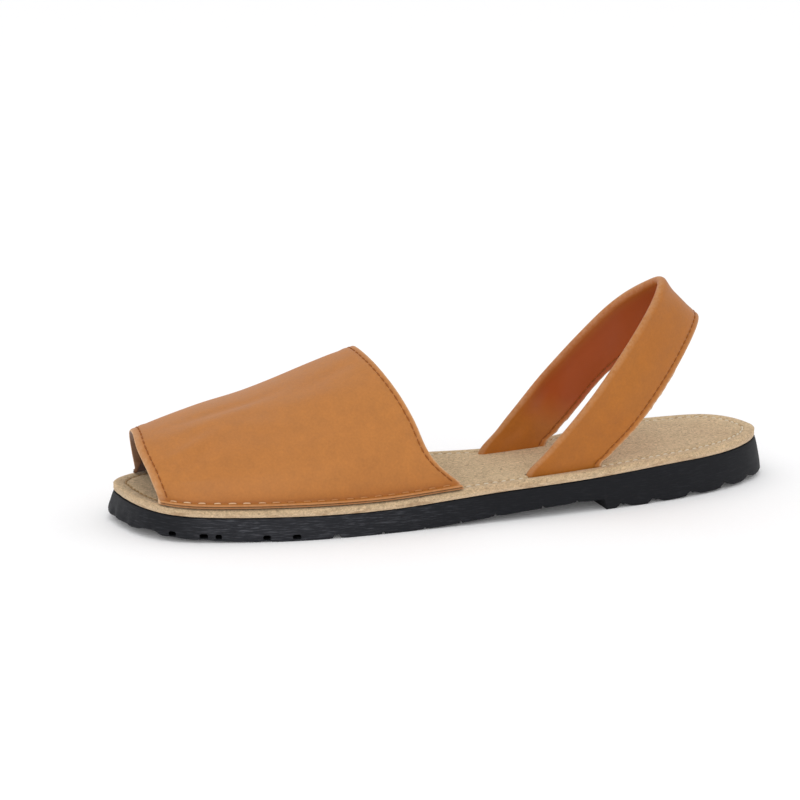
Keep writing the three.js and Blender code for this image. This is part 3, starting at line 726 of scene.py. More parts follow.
def closed_shell(skin, lining, profile_at):
    """Skin and lining grids joined round their rim by a profile of outward bulges in millimetres."""
    rows, stops = skin.shape[:2]
    rim = [(0, j) for j in range(stops)] + [(i, stops - 1) for i in range(1, rows)]
    rim += [(rows - 1, j) for j in range(stops - 2, -1, -1)] + [(i, 0) for i in range(rows - 2, 0, -1)]
    points = list(skin.reshape(-1, 3)) + list(lining.reshape(-1, 3))
    depth = rows * stops
    faces, kinds = [], []
    for i in range(rows - 1):
        for j in range(stops - 1):
            a, b = i * stops + j, (i + 1) * stops + j
            faces.append((a, b, b + 1, a + 1))
            faces.append((depth + a, depth + a + 1, depth + b + 1, depth + b))
            kinds += [SKIN, LINING]
    rings = [[i * stops + j for i, j in rim]]
    for k in range(1, RIM_STEPS):
        v = k / RIM_STEPS
        ring = []
        for i, j in rim:
            out = unit(skin[i, j] - skin[min(max(i, 1), rows - 2), min(max(j, 1), stops - 2)])
            ring.append(len(points))
            points.append(skin[i, j] * (1 - v) + lining[i, j] * v + out * profile_at(i, j, v))
        rings.append(ring)
    rings.append([depth + i * stops + j for i, j in rim])
    for upper, lower in zip(rings[:-1], rings[1:]):
        for n in range(len(rim)):
            m = (n + 1) % len(rim)
            faces.append((upper[m], upper[n], lower[n], lower[m]))
            kinds.append(RIM)
    return points, faces, kinds


def vamp_profile(i, j, v):
    """Bulge of the rim at a share of its thickness: two layers on the flanges, a round fold elsewhere."""
    if j in (0, VAMP_STOPS - 1):
        wave = 0.10 * float(ripple(flat_y[i, j], v * 6.0, 0.0, 0.5, 71))
        return 0.45 * abs(math.sin(2 * math.pi * v)) ** 0.6 + 0.25 * v + wave
    return (0.30 + 0.10 * float(ripple(flat_x[i, j], v * 6.0, 3.0, 0.7, 72))) * math.sin(math.pi * v) ** 0.45


vamp_points, vamp_faces, vamp_kinds = closed_shell(vamp_skin, vamp_lining, vamp_profile)
vamp = add_piece("vamp_leather", vamp_points, vamp_faces, crease_deg=60)
skin_count = vamp_skin.shape[0] * vamp_skin.shape[1]
# painted shade along both sewing lines, in the groove the thread pulls into the leather
seam_line = 0.6 * (bell(from_toe - TOE_SEWING, 0.3) + bell(from_throat - THROAT_SEWING, 0.3)) * on_wall
# painted shade in the crease where the wall turns out into the flange, as dark as along the sewing
flange_crease_shade = 0.9 * np.clip(1 - np.abs(from_flank - (FLANGE_COUNT - 1.5)) / 2.5, 0, 1)
paint(vamp, "seam_shade", np.maximum(seam_line, flange_crease_shade).ravel())
worn_edge = np.maximum(np.exp(-nearest_edge / 0.35), 0.28 * np.exp(-((from_toe / 2.0) ** 4)))
worn_edge[:, [0, -1]] = 0.3
worn_edge[:, [1, -2]] = 0.0
# wear and darkness of each stretch of the rim, in the order that it was walked: toe opening, flank, throat, flank
walked = [(1.0, 0.0)] * VAMP_STOPS + [(0.15, 1.0)] * (len(vamp_skin) - 1)
walked += [(0.7, 0.0)] * (VAMP_STOPS - 1) + [(0.15, 1.0)] * (len(vamp_skin) - 2)
rim_worn, rim_dark_and_shade = np.array(walked).T
# how dark the flange's cut edge is, layer by layer, from the skin down to the lining: the joint between the two
# layers is dark, and the lowest layer gets a painted shadow
LAYER_JOINT_AND_SHADOW = (0.0, 0.0, 0.5, 1.0, 0.5, 0.2, 0.8)
rim_x = np.array(vamp_points[2 * skin_count:])[:, 0]
toe_part = np.tile(np.arange(len(walked)) < VAMP_STOPS, RIM_STEPS - 1)
# painted shade: the far part of the toe opening's rim is darkened and keeps little of its pale wear
far_rim_shade = np.clip((-rim_x - 6.0) / 8.0, 0, 1) * toe_part
rim_worn = np.tile(rim_worn, RIM_STEPS - 1) * (1.0 - 0.9 * far_rim_shade)
rim_dark_and_shade = np.maximum(far_rim_shade, np.outer(LAYER_JOINT_AND_SHADOW, rim_dark_and_shade).ravel())
# the pale values are wear at the edges; the dark ones are the joint between the flange's layers, with painted shade
# on its lowest layer and on the far part of the toe rim
paint(vamp, "wear_and_highlight", np.concatenate([worn_edge.ravel(), np.zeros(skin_count), rim_worn]))
paint(vamp, "deep", np.concatenate([np.zeros(skin_count), np.ones(skin_count), rim_dark_and_shade]))

# %% [markdown]
# The heel strap is one band of leather folded over on itself, so its upper edge is a soft round fold and
# its lower edge shows two cut layers with a row of sewing just inside. It could be a curve with a bevel
# profile, but the band also twists as it goes round the heel. Here each ring takes the two edges and the
# inward direction from the same table as the solid, and a denser section is laid between them.

# %% Path of the heel strap
# share of the way, folded edge's place (shares of heel width, foot length and strap height), width share,
# and the direction from the folded edge to the raw one
STRAP = [
    (0, 0.566, 0.079, 0.182, 1.21, -0.02, 1, 0.04), (0.143, 0.556, 0.185, 0.527, 1.00, -0.12, 0.90, -0.42),
    (0.286, 0.430, 0.268, 0.826, 1.01, -0.11, 0.71, -0.69), (0.429, 0.224, 0.321, 0.988, 1.00, -0.10, 0.69, -0.72),
    (0.5, 0.109, 0.328, 1.000, 1.00, -0.12, 0.72, -0.68), (0.571, 0.005, 0.320, 0.967, 0.99, -0.18, 0.74, -0.65),
    (0.714, -0.144, 0.264, 0.814, 1.01, -0.27, 0.74, -0.62), (0.857, -0.183, 0.171, 0.539, 1.00, -0.23, 0.87, -0.44),
    (1, -0.115, 0.058, 0.174, 1.11, -0.02, 1, 0.03),
]
strap_curves = [follow([(row[0], row[k]) for row in STRAP]) for k in range(1, 8)]
STRAP_GUIDES = 54
STRAP_RINGS = 420
# where the hand-cut band strays from its pattern: edge (0 folded, 1 raw), then in millimetres the place
# along the way, the reach and the shift
CUT_BY_HAND = [(0, 69, 18, 0.9), (0, 118, 13, -0.8), (1, 144, 18, -1.0)]
# length of band at each foot that stands upright, and of the turn from there to its own lean
UPRIGHT, UPRIGHT_BLEND = 3.4, 8.0


def strap_edges(way):
    """The folded and the raw edge at a share of the way round."""
    x, y, z, wide, *across = (float(curve(way)) for curve in strap_curves)
    top = np.array([x * HEEL_WIDTH, y * FOOT_LENGTH, z * STRAP_HEIGHT])
    return top, top + unit(np.array(across)) * wide * STRAP_WIDTH


def strap_foot(way, height):
    """The strap's end stands upright in its slot."""
    top, low = strap_edges(way)
    top[2], low[2] = float(height(top[1])), float(height(low[1]))
    return top, low


def inward_at_foot(top, low, side):
    """Direction from the outside to the inside of an upright strap end."""
    across = unit(low - top)
    inward = np.array([side, 0.0, 0.0])
    inward -= across * inward.dot(across)
    inward[2] = 0
    return unit(inward)


def strap_path():
    seat, brim = (lambda y: deck_height(y) + FIT_GAP), (lambda y: footbed_top(y) + FIT_GAP)
    guides = [strap_foot(0, seat), strap_foot(0, brim)]
    guides += [strap_edges(i / STRAP_GUIDES) for i in range(2, STRAP_GUIDES - 1)]
    guides += [strap_foot(1, brim), strap_foot(1, seat)]
    guides = np.array(guides)
    # each edge leaves its foot straight and eases into its curve
    for foot, step in ((1, 1), (len(guides) - 2, -1)):
        for edge, reach in ((0, 3), (1, 7)):
            start, end = guides[foot, edge].copy(), guides[foot + step * reach, edge].copy()
            for k in range(1, reach):
                keep, straight = ease(k / reach), start + (end - start) * (k / reach)
                guides[foot + step * k, edge] = straight * (1 - keep) + guides[foot + step * k, edge] * keep
    travel = distance_gone(guides.mean(axis=1))
    places = np.linspace(0, travel[-1], STRAP_RINGS)
    edges = [[follow(list(zip(travel, guides[:, e, k])))(places) for k in range(3)] for e in range(2)]
    edges = np.array(edges).transpose(0, 2, 1)
    across = unit(edges[1] - edges[0])
    for edge, middle, reach, shift in CUT_BY_HAND:
        edges[edge] += across * shift * bell(places - middle, reach)[:, None]
    top, low = edges
    across = unit(low - top)
    inward = unit(np.cross(np.gradient((top + low) / 2, axis=0), across))
    for n, way in enumerate(places):
        for distance, side in ((way, -1), (travel[-1] - way, 1)):
            share = ease(min(max((distance - UPRIGHT) / UPRIGHT_BLEND, 0), 1))
            if share < 1:
                inward[n] = unit(inward_at_foot(top[n], low[n], side) * (1 - share) + inward[n] * share)
    return top, low, across, inward, places


strap_top, strap_low, strap_across, strap_inward, strap_way = strap_path()
print("strap is", round(float(strap_way[-1]), 1), "mm long along its middle")

# %% Section of the folded strap
STRAP_SEWING = 2.2
FOLD_DEPTH = 0.72 * STRAP_THICKNESS
FOLD_SHARE = FOLD_DEPTH / STRAP_WIDTH
# distance below the folded edge as a share of the width, and depth as a share of the thickness
RAW_OUTSIDE, RAW_INSIDE = 0.05, 0.77
OUTER_FACE = follow([(FOLD_SHARE, -0.15), (0.16, -0.125), (0.27, -0.09), (0.45, -0.13), (0.82, -0.03),
                     (1, RAW_OUTSIDE)])
INNER_FACE = follow([(FOLD_SHARE, 0.95), (0.16, 0.93), (0.27, 0.90), (0.45, 0.94), (0.82, 0.85),
                     (1, RAW_INSIDE)])
# places up the face in millimetres from the raw edge, close together by the sewing
FROM_RAW = [0.0, 0.3, 0.7, 1.1, 1.45, 1.7, 1.9, 2.05, 2.2, 2.35, 2.5, 2.7, 3.0, 3.5, 4.2, 5.2, 6.4]
FACE_POINTS, FOLD_POINTS, RAW_POINTS = 16, 14, 9

# face (1 outside, -1 inside), place along the way, place below the fold, direction in degrees from the
# band's own line, length, width, height, all in millimetres
STRAP_CREASES = [
    (1, 99, 13, 80, 26, 13, -0.90), (1, 112, 12, 80, 22, 11, 0.30), (1, 82, 14, 62, 20, 10, 0.25),
    (1, 46, 12, 6, 60, 10, 0.30), (1, 22, 14, 26, 30, 11, -0.45), (1, 70, 7, -6, 50, 8, 0.20),
    (1, 150, 10, 4, 60, 9, 0.30), (1, 178, 14, -14, 34, 10, -0.35),
    (-1, 106, 12, 60, 24, 12, -0.55), (-1, 121, 9, 40, 28, 10, -0.50), (-1, 88, 10, 110, 26, 10, -0.35),
    (-1, 133, 14, 20, 30, 9, 0.45), (-1, 146, 8, 30, 34, 9, -0.55), (-1, 158, 13, 10, 30, 9, 0.40),
    (-1, -29, 8, 34, 26, 10, -1.6), (-1, -14, 12, 34, 24, 12, 0.8), (-1, 42, 12, 10, 50, 11, -0.35),
]


def strap_relief(face, way, down, from_raw):
    """How far a face stands out at places down it: creases, sewing, and the splayed bend at the back."""
    length = strap_way[-1]
    shown = [(d, w % length, *stroke) for f, w, d, *stroke in STRAP_CREASES if f == face]
    creases = crease_field(down, way, shown) + 0.10 * ripple(way, down * 1.6, face * 9.0, 0.11, 51)
    quiet = np.clip(from_raw / 6.0, 0.1, 1) * min(way / 10, (length - way) / 10, 1)
    sewn = 0.18 * bell(from_raw - STRAP_SEWING, 0.4) + 0.14 * bell(from_raw - STRAP_SEWING, 1.3)
    splay = 0.6 * bell(from_raw, 5.0) * bell(way - 100, 26) + 0.9 * bell(down, 5.5) * bell(way - 98, 26)
    return creases * quiet - sewn + splay * (face > 0)


def strap_ring(n):
    """Corners round one ring, from the raw edge up the outside, over the fold and down the inside."""
    way, top, across, inward = strap_way[n], strap_top[n], strap_across[n], strap_inward[n]
    width = np.linalg.norm(strap_low[n] - top)
    down = width - np.array(FROM_RAW)
    down = np.append(down, np.linspace(down[-1], FOLD_DEPTH, FACE_POINTS + 1)[1:])
    from_raw = width - down
    outside = OUTER_FACE(down / width) * STRAP_THICKNESS - strap_relief(1, way, down, from_raw)
    inside = INNER_FACE(down / width) * STRAP_THICKNESS + strap_relief(-1, way, down, from_raw)
    fold = math.pi * np.arange(1, FOLD_POINTS) / FOLD_POINTS
    fold_depth = (outside[-1] + inside[-1] - (inside[-1] - outside[-1]) * np.cos(fold)) / 2
    v = np.arange(1, RAW_POINTS) / RAW_POINTS
    fray = 0.34 * ripple(way, v * 3.0, 0.0, 0.8, 61) + 0.22 * ripple(way, v * 9.0, 2.0, 2.0, 62)
    lobes = 0.32 * np.abs(np.sin(2 * math.pi * v)) ** 0.6
    raw = width + lobes + fray * np.sin(math.pi * v)
    raw_depth = (RAW_INSIDE * (1 - v) + RAW_OUTSIDE * v) * STRAP_THICKNESS
    downs = np.concatenate([down, FOLD_DEPTH * (1 - np.sin(fold)), down[::-1], raw])
    depths = np.concatenate([outside, fold_depth, inside[::-1], raw_depth])
    # the leather gets painted shade along the sewing; the raw edges are paled by wear, and the fold partly by wear
    # and partly as a painted highlight
    seam_shade, wear_and_highlight = 0.6 * bell(from_raw - STRAP_SEWING, 0.35), 0.8 * np.exp(-from_raw / 0.4)
    seam_shade = np.concatenate([seam_shade, 0 * fold, seam_shade[::-1], 0 * v])
    wear_and_highlight = np.concatenate([wear_and_highlight, 0.25 * np.sin(fold), wear_and_highlight[::-1], 0 * v + 1])
    return top + across * downs[:, None] + inward * depths[:, None], seam_shade, wear_and_highlight


strap_rings, strap_seam, strap_worn = (np.array(v) for v in zip(*(strap_ring(n) for n in range(STRAP_RINGS))))
strap_around = strap_rings.shape[1]
strap_faces = wrap_faces(STRAP_RINGS, strap_around)
strap_faces.append(tuple(range(strap_around))[::-1])
strap_faces.append(tuple((STRAP_RINGS - 1) * strap_around + i for i in range(strap_around)))
strap = add_piece("heel_strap_leather", strap_rings.reshape(-1, 3), strap_faces, crease_deg=60)
# the inside is darker from the fold down to the raw edge, and less so toward the feet: partly its own deeper tone,
# partly painted shade inside the loop
outer_count = len(FROM_RAW) + FACE_POINTS
first_inside = outer_count + FOLD_POINTS - 1
inside_tone_and_shade = np.zeros(strap_around)
inside_tone_and_shade[outer_count + FOLD_POINTS // 2:first_inside] = 0.4
inside_tone_and_shade[first_inside:first_inside + outer_count] = np.clip(0.6 + 0.12 * np.arange(outer_count), 0, 1)
toward_feet = np.clip(np.minimum(strap_way - 10, strap_way[-1] - strap_way - 14) / 18, 0.10, 1)
paint(strap, "seam_shade", strap_seam.ravel())
paint(strap, "wear_and_highlight", strap_worn.ravel())
paint(strap, "deep", np.outer(toward_feet, inside_tone_and_shade).ravel())

# %% [markdown]
# Each strap end drops through a slot in the board. The slot is cut with a plain bar a little larger than
# the folded leather, as a punch would, so a thin dark line shows round the strap where it goes in.

# %% Slots in the footbed


def slot_bar(way):
    """Upright bar round a strap end, FIT_GAP larger than the folded leather."""
    top, low = strap_foot(way, lambda y: 0.0)
    across, inward = unit(low - top), inward_at_foot(top, low, -1 if way == 0 else 1)
    half, middle = 0.55 * STRAP_THICKNESS + FIT_GAP, 0.41 * STRAP_THICKNESS
    corners = []
    for end, away, side in ((top, -1, -1), (top, -1, 1), (low, 1, 1), (low, 1, -1)):
        corners.append(end + across * away * 0.1 + inward * (middle + side * half))
    points = [(x, y, z) for z in (0.0, 40.0) for x, y, _ in corners]
    return points, wrap_faces(2, 4) + [(3, 2, 1, 0), (4, 5, 6, 7)]


cut_with(footbed, [slot_bar(0), slot_bar(1)])
shade(footbed.data, 50)
print("footbed has", len(footbed.data.polygons), "faces with its slots")

# %% [markdown]
# Sewing is real geometry here: each stitch is a short length of thread that comes up through one hole,
# lies in the channel the machine pulls, and goes down through the next. A dashed texture would be
# lighter, but it would not catch the light or stand in its own shade.

# %% Stitches
THREAD_SIDES, HOLE_SIDES = 6, 8
THREAD, HOLE = 0, 1
# share of the way from a stitch's middle to its end, and rise there in radii of the thread
STITCH_SHAPE = [(-1.0, -2.2), (-0.94, -0.9), (-0.72, 0.0), (-0.3, 0.28), (0.3, 0.28), (0.72, 0.0),
                (0.94, -0.9), (1.0, -2.2)]


def walk(points, normals, pitch, start=0.5):
    """Places at equal steps along a line of points, each with its normal, and the way to read between."""
    points, normals = np.asarray(points), np.asarray(normals)
    gone = distance_gone(points)

    def between(line, s):
        return np.array([np.interp(s, gone, line[:, k]) for k in range(3)])

    def read(s, beyond=0.0):
        """Place and normal a little beyond s, and the line's run and sideways direction at s."""
        normal = unit(between(normals, s + beyond))
        run = unit(between(points, s + 0.2) - between(points, s - 0.2))
        return between(points, s + beyond), normal, run, unit(np.cross(run, normal))

    count = int((gone[-1] - 2 * start) / pitch)
    slack = (gone[-1] - count * pitch) / 2
    return read, [slack + (n + 0.5) * pitch for n in range(count)]


def make_stitches(name, rows, pitch, length, radius, proud=0.1, seed=7, skip=None):
    """Rows of thread, each row a line of points with their normals, as one closed mesh per stitch."""
    rng = random.Random(seed)
    points, faces, kinds = [], [], []
    for line_points, line_normals in rows:
        read, centres = walk(line_points, line_normals, pitch)
        for centre in centres:
            centre += rng.uniform(-0.06, 0.06) * pitch
            reach = 0.5 * length * rng.uniform(0.93, 1.05)
            sway = rng.uniform(-0.12, 0.12)
            if skip and skip(read(centre)[0]):
                continue
            first = len(points)
            for share, rise in STITCH_SHAPE:
                place, normal, _, beside = read(centre + share * reach)
                place = place + normal * (proud + rise * radius) + beside * sway * share
                for k in range(THREAD_SIDES):
                    a = 2 * math.pi * k / THREAD_SIDES
                    points.append(place + radius * (beside * math.cos(a) * 1.15 + normal * math.sin(a) * 0.9))
            tube = [tuple(first + i for i in f) for f in wrap_faces(len(STITCH_SHAPE), THREAD_SIDES)]
            last = len(points) - THREAD_SIDES
            tube += [tuple(range(first, first + THREAD_SIDES))[::-1], tuple(range(last, last + THREAD_SIDES))]
            faces += tube
            kinds += [THREAD] * len(tube)
            for share in (-1, 1):
                place, normal, run, beside = read(centre + share * reach, share * 0.12)
                middle = len(points)
                points += [place + normal * 0.06, place - normal * 0.3]
                for k in range(HOLE_SIDES):
                    a = 2 * math.pi * k / HOLE_SIDES
                    points.append(place + radius * 1.05 * (run * math.cos(a) * 1.1 + beside * math.sin(a)))
                for k in range(HOLE_SIDES):
                    p, q = middle + 2 + k, middle + 2 + (k + 1) % HOLE_SIDES
                    faces += [(middle, p, q), (middle + 1, q, p)]
                    kinds += [HOLE, HOLE]
    piece = add_piece(name, points, faces)
    piece.data.polygons.foreach_set("material_index", kinds)
    return piece


def vamp_row(side, distance):
    """Line on the vamp's skin at a distance from the toe opening or the throat."""
    gap = from_toe if side == "toe" else from_throat
    row = int(np.argmin(np.abs(gap[:, VAMP_STOPS // 2] - distance)))
    inner = range(FLANGE_COUNT, VAMP_STOPS - FLANGE_COUNT)
    return [vamp_skin[row, j] for j in inner], [vamp_normal[row, j] for j in inner]


def flange_row(first_side, inset):
    """Line on the flange, a distance in from its cut edge."""
    stop = int(round(inset / (FLANGE_WIDTH - 0.35 * VAMP_THICKNESS) * (FLANGE_STOPS - 1)))
    column = stop if first_side else VAMP_STOPS - 1 - stop
    rows = range(4, vamp_skin.shape[0] - 4)
    return [vamp_skin[i, column] for i in rows], [vamp_normal[i, column] for i in rows]


def strap_row(index):
    """Line along the strap at one corner of its rings."""
    rings = range(6, STRAP_RINGS - 6)
    outer = index < outer_count
    sign = -1 if outer else 1
    return [strap_rings[n, index] for n in rings], [strap_inward[n] * sign for n in rings]


def footbed_row():
    """Line round the board, at its sewing's inset."""
    inset_index = BED_INSETS.index(STITCH_INSET)
    line = [bed_top[i, inset_index] for i in range(bed_steps)]
    line += [bed_top[i, bed_wide - 1 - inset_index] for i in range(bed_steps - 1, -1, -1)]
    return line, [np.array([0.0, 0.0, 1.0])] * len(line)


# corners of each strap end, and how far before, behind and beside them the sewing is hidden
strap_ends = [np.array(strap_foot(way, footbed_top)) for way in (0, 1)]
HIDDEN_BEFORE, HIDDEN_BEHIND, HIDDEN_BESIDE = 2.0, 0.5, 9.0


def beside_slot(place):
    """Whether a place on the board is hidden by a strap end, where the sewing stops."""
    for ends in strap_ends:
        along = ends[:, 1].min() - HIDDEN_BEFORE < place[1] < ends[:, 1].max() + HIDDEN_BEHIND
        if along and abs(place[0] - ends[:, 0].mean()) < HIDDEN_BESIDE:
            return True
    return False


sewn_outside = FROM_RAW.index(STRAP_SEWING)
sewn_inside = first_inside + outer_count - 1 - sewn_outside
# pitch, stitch length, radius of the thread and how proud it lies, in millimetres
upper_thread = make_stitches("vamp_thread", [vamp_row("toe", TOE_SEWING), vamp_row("throat", THROAT_SEWING)],
                             3.1, 2.0, 0.22)
flange_thread = make_stitches("flange_thread", [flange_row(first_side, 1.75) for first_side in (True, False)],
                              5.3, 2.8, 0.26, 0.12)
strap_thread = make_stitches("strap_thread", [strap_row(sewn_outside), strap_row(sewn_inside)], 2.8, 1.7, 0.24)
bed_thread = make_stitches("footbed_thread", [footbed_row()], 3.4, 2.2, 0.38, 0.16, skip=beside_slot)

# %% [markdown]
# Finishes are node trees. One function adds a node with its settings and inputs, and one turns a colour
# as seen on a screen into the linear light that the shader works in. Two more hold what every finish
# needs: noise of a real size, and tones and bumps laid over one another.

# %% Node helpers


def from_hex(code):
    """sRGB hex colour to linear RGBA."""
    values = [int(code[i:i + 2], 16) / 255 for i in (1, 3, 5)]
    return [v / 12.92 if v <= 0.04045 else ((v + 0.055) / 1.055) ** 2.4 for v in values] + [1.0]


def fill(tree, node, inputs):
    """Sets a node's inputs, named or numbered. A node given for one is linked by its first live output,
    and a (node, output name) pair by that output."""
    for name, value in inputs.items() if isinstance(inputs, dict) else enumerate(inputs):
        if isinstance(value, bpy.types.Node):
            value = value, next(k for k, output in enumerate(value.outputs) if output.enabled)
        if isinstance(value, tuple) and isinstance(value[0], bpy.types.Node):
            tree.links.new(value[0].outputs[value[1]], node.inputs[name])
        else:
            node.inputs[name].default_value = value


def add_node(tree, kind, inputs=(), stops=(), **settings):
    """Adds a node with its settings and inputs; stops are a colour ramp's (position, grey) pairs."""
    node = tree.nodes.new("ShaderNode" + kind)
    for name, value in settings.items():
        setattr(node, name, value)
    fill(tree, node, inputs)
    if stops:
        elements = node.color_ramp.elements
        while len(elements) < len(stops):
            elements.new(0.5)
        for element, (position, grey) in zip(elements, stops):
            element.position, element.color = position, [grey] * 3 + [1.0]
    return node


def start_material(name, **shader_values):
    """Material with a principled shader, whose constants are given with underscores for spaces."""
    material = bpy.data.materials.new(name)
    material.use_nodes = True
    tree = material.node_tree
    tree.nodes.clear()
    shader = add_node(tree, "BsdfPrincipled", {k.replace("_", " "): v for k, v in shader_values.items()})
    add_node(tree, "OutputMaterial", {"Surface": shader})
    return material, tree, shader


# numbers of a colour mix's inputs, whose names are shared with its other kinds
SHARE, FIRST, SECOND = 0, 6, 7


def noise(tree, size_mm, detail=3.0, rough=0.55, stretch=(1, 1, 1), distortion=0.0):
    """Noise whose lumps are about size_mm across; stretch makes them longer on an axis."""
    place = add_node(tree, "TexCoord")
    scale = [1 / (0.001 * size_mm * s) for s in stretch]
    mapped = add_node(tree, "Mapping", {"Vector": (place, "Object"), "Scale": scale})
    return add_node(tree, "TexNoise", {"Vector": mapped, "Scale": 1.0, "Detail": detail, "Roughness": rough,
                                       "Distortion": distortion})


def dress(tree, shader, colour, coats, heights, **more):
    """Gives a shader a colour with tones laid over it, each (share, strength, tone), and bumps laid over one
    another, each (height, strength, depth in millimetres)."""
    for share, strength, tone in coats:
        if strength < 1:
            share = add_node(tree, "Math", [share, strength], operation="MULTIPLY")
        colour = add_node(tree, "Mix", {SHARE: share, FIRST: colour, SECOND: from_hex(tone)}, data_type="RGBA")
    normal = {}
    for height, strength, depth in heights:
        inputs = {"Strength": strength, "Distance": depth * 0.001, "Height": height, **normal}
        normal = {"Normal": add_node(tree, "Bump", inputs)}
    fill(tree, shader, {"Base Color": colour, **normal, **more})


# %% [markdown]
# The vamp and the strap are smooth cow leather, drum-dyed tan and finished with a thin satin coat. The
# eye gets an even, warm colour with slow cloudy variation, a broad soft highlight, and pores too fine to
# count. Cut and folded edges are paler, because the dye wears off there; along the strap's fold the paler
# tone is also a painted highlight. The strap's inside is darker, partly its own deeper tone and partly
# painted shade, and painted shade lies along the sewing. Pores on real leather are about
# 0.15 mm apart; they are drawn at 0.5 mm so that they show at all.

# %% Smooth tan leather
PORE_MM = 0.5


def tan_leather(name, tan, deep, roughness):
    material, tree, shader = start_material(name, Roughness=roughness, IOR=1.48, Specular_IOR_Level=0.4,
                                            Coat_Weight=0.03, Coat_Roughness=0.38)
    mottle = noise(tree, 5, detail=4, rough=0.6)
    fine = add_node(tree, "Math", [mottle, 0.30, 0.85], operation="MULTIPLY_ADD")
    grain = add_node(tree, "Math", [noise(tree, 0.9, detail=2), 0.26, 0.87], operation="MULTIPLY_ADD")
    tone = add_node(tree, "Math", [fine, grain], operation="MULTIPLY")
    base = add_node(tree, "Mix", {SHARE: noise(tree, 34), FIRST: from_hex(tan[0]), SECOND: from_hex(tan[1])},
                    data_type="RGBA")
    base = add_node(tree, "Mix", {SHARE: 1.0, FIRST: base, SECOND: tone}, data_type="RGBA", blend_type="MULTIPLY")
    patchy = add_node(tree, "ValToRGB", [noise(tree, 1.5, detail=4, rough=0.7)], [(0.36, 0.35), (0.58, 1.0)])
    inside, seam_shade, edge = ((add_node(tree, "Attribute", attribute_name=painted), "Fac")
                          for painted in ("deep", "seam_shade", "wear_and_highlight"))
    wear_and_highlight = add_node(tree, "Math", [edge, patchy], operation="MULTIPLY", use_clamp=True)
    sheen_patch = add_node(tree, "Math", [mottle, 0.14, roughness - 0.07], operation="MULTIPLY_ADD")
    rough = add_node(tree, "Math", [wear_and_highlight, 0.25, sheen_patch], operation="MULTIPLY_ADD", use_clamp=True)
    mapped = add_node(tree, "Mapping", {"Vector": (add_node(tree, "TexCoord"), "Object"),
                                        "Scale": [1 / (0.001 * PORE_MM)] * 3})
    pores = add_node(tree, "TexVoronoi", {"Vector": mapped, "Scale": 1.0}, feature="DISTANCE_TO_EDGE")
    pore_height = add_node(tree, "ValToRGB", [pores], [(0.0, 0.0), (0.16, 1.0)])
    fibre = noise(tree, 0.5, detail=4, rough=0.7, stretch=(1, 1, 0.5))
    edge_height = add_node(tree, "Math", [fibre, wear_and_highlight], operation="MULTIPLY")
    # tones laid over: the deep one is the flange layers' dark joint and the strap inside's own tone, with painted
    # shade on the strap's inside, the flange's lowest layer and the far toe rim; the seam one is painted shade; the
    # worn one is pale wear, and a painted highlight on the strap's fold
    dress(tree, shader, base, [(inside, 1, deep), (seam_shade, 0.5, "#8A4814"), (wear_and_highlight, 1, "#D8B48E")],
          [(pore_height, 0.35, 0.03), (mottle, 0.5, 0.12), (edge_height, 0.6, 0.25)], Roughness=rough)
    return material


vamp_finish = tan_leather("smooth_tan_leather", ("#B27230", "#AA692A"), "#5A351B", 0.52)
strap_finish = tan_leather("strap_tan_leather", ("#A96618", "#A15C13"), "#A24708", 0.48)
vamp.data.materials.append(vamp_finish)
strap.data.materials.append(strap_finish)
print("leathers:", vamp_finish.name, strap_finish.name)

# %% [markdown]
# Inside the vamp is the flesh side of the same hide: raw, brown and without any gloss, with short loose
# fibres. It takes its own finish on the lining's faces.

# %% Flesh side


def flesh_side():
    material, tree, shader = start_material("leather_flesh_side", Roughness=0.95, Sheen_Weight=0.25,
                                            Sheen_Roughness=0.6)
    fibres = noise(tree, 0.8, detail=5, rough=0.7)
    base = add_node(tree, "Mix", {SHARE: noise(tree, 14, detail=2), FIRST: from_hex("#65391A"),
                                  SECOND: from_hex("#4E2B12")}, data_type="RGBA")
    dark = add_node(tree, "Math", [fibres, 0.5, 0.72], operation="MULTIPLY_ADD")
    base = add_node(tree, "Mix", {SHARE: 1.0, FIRST: base, SECOND: dark}, data_type="RGBA", blend_type="MULTIPLY")
    dress(tree, shader, base, [], [(fibres, 0.7, 0.25)])
    return material


vamp.data.materials.append(flesh_side())
vamp.data.polygons.foreach_set("material_index", [1 if kind == LINING else 0 for kind in vamp_kinds])
print("vamp's finishes:", [finish.name for finish in vamp.data.materials])

# %% [markdown]
# The footbed is suede, the split of the hide, glued to a thin board. Suede has no coat at all, so it has
# the highest roughness here and a little sheen from its nap. Its fibres lie in all directions about a
# millimetre long, with darker specks and smears from handling, and its edge has picked up brown marks.

# %% Suede


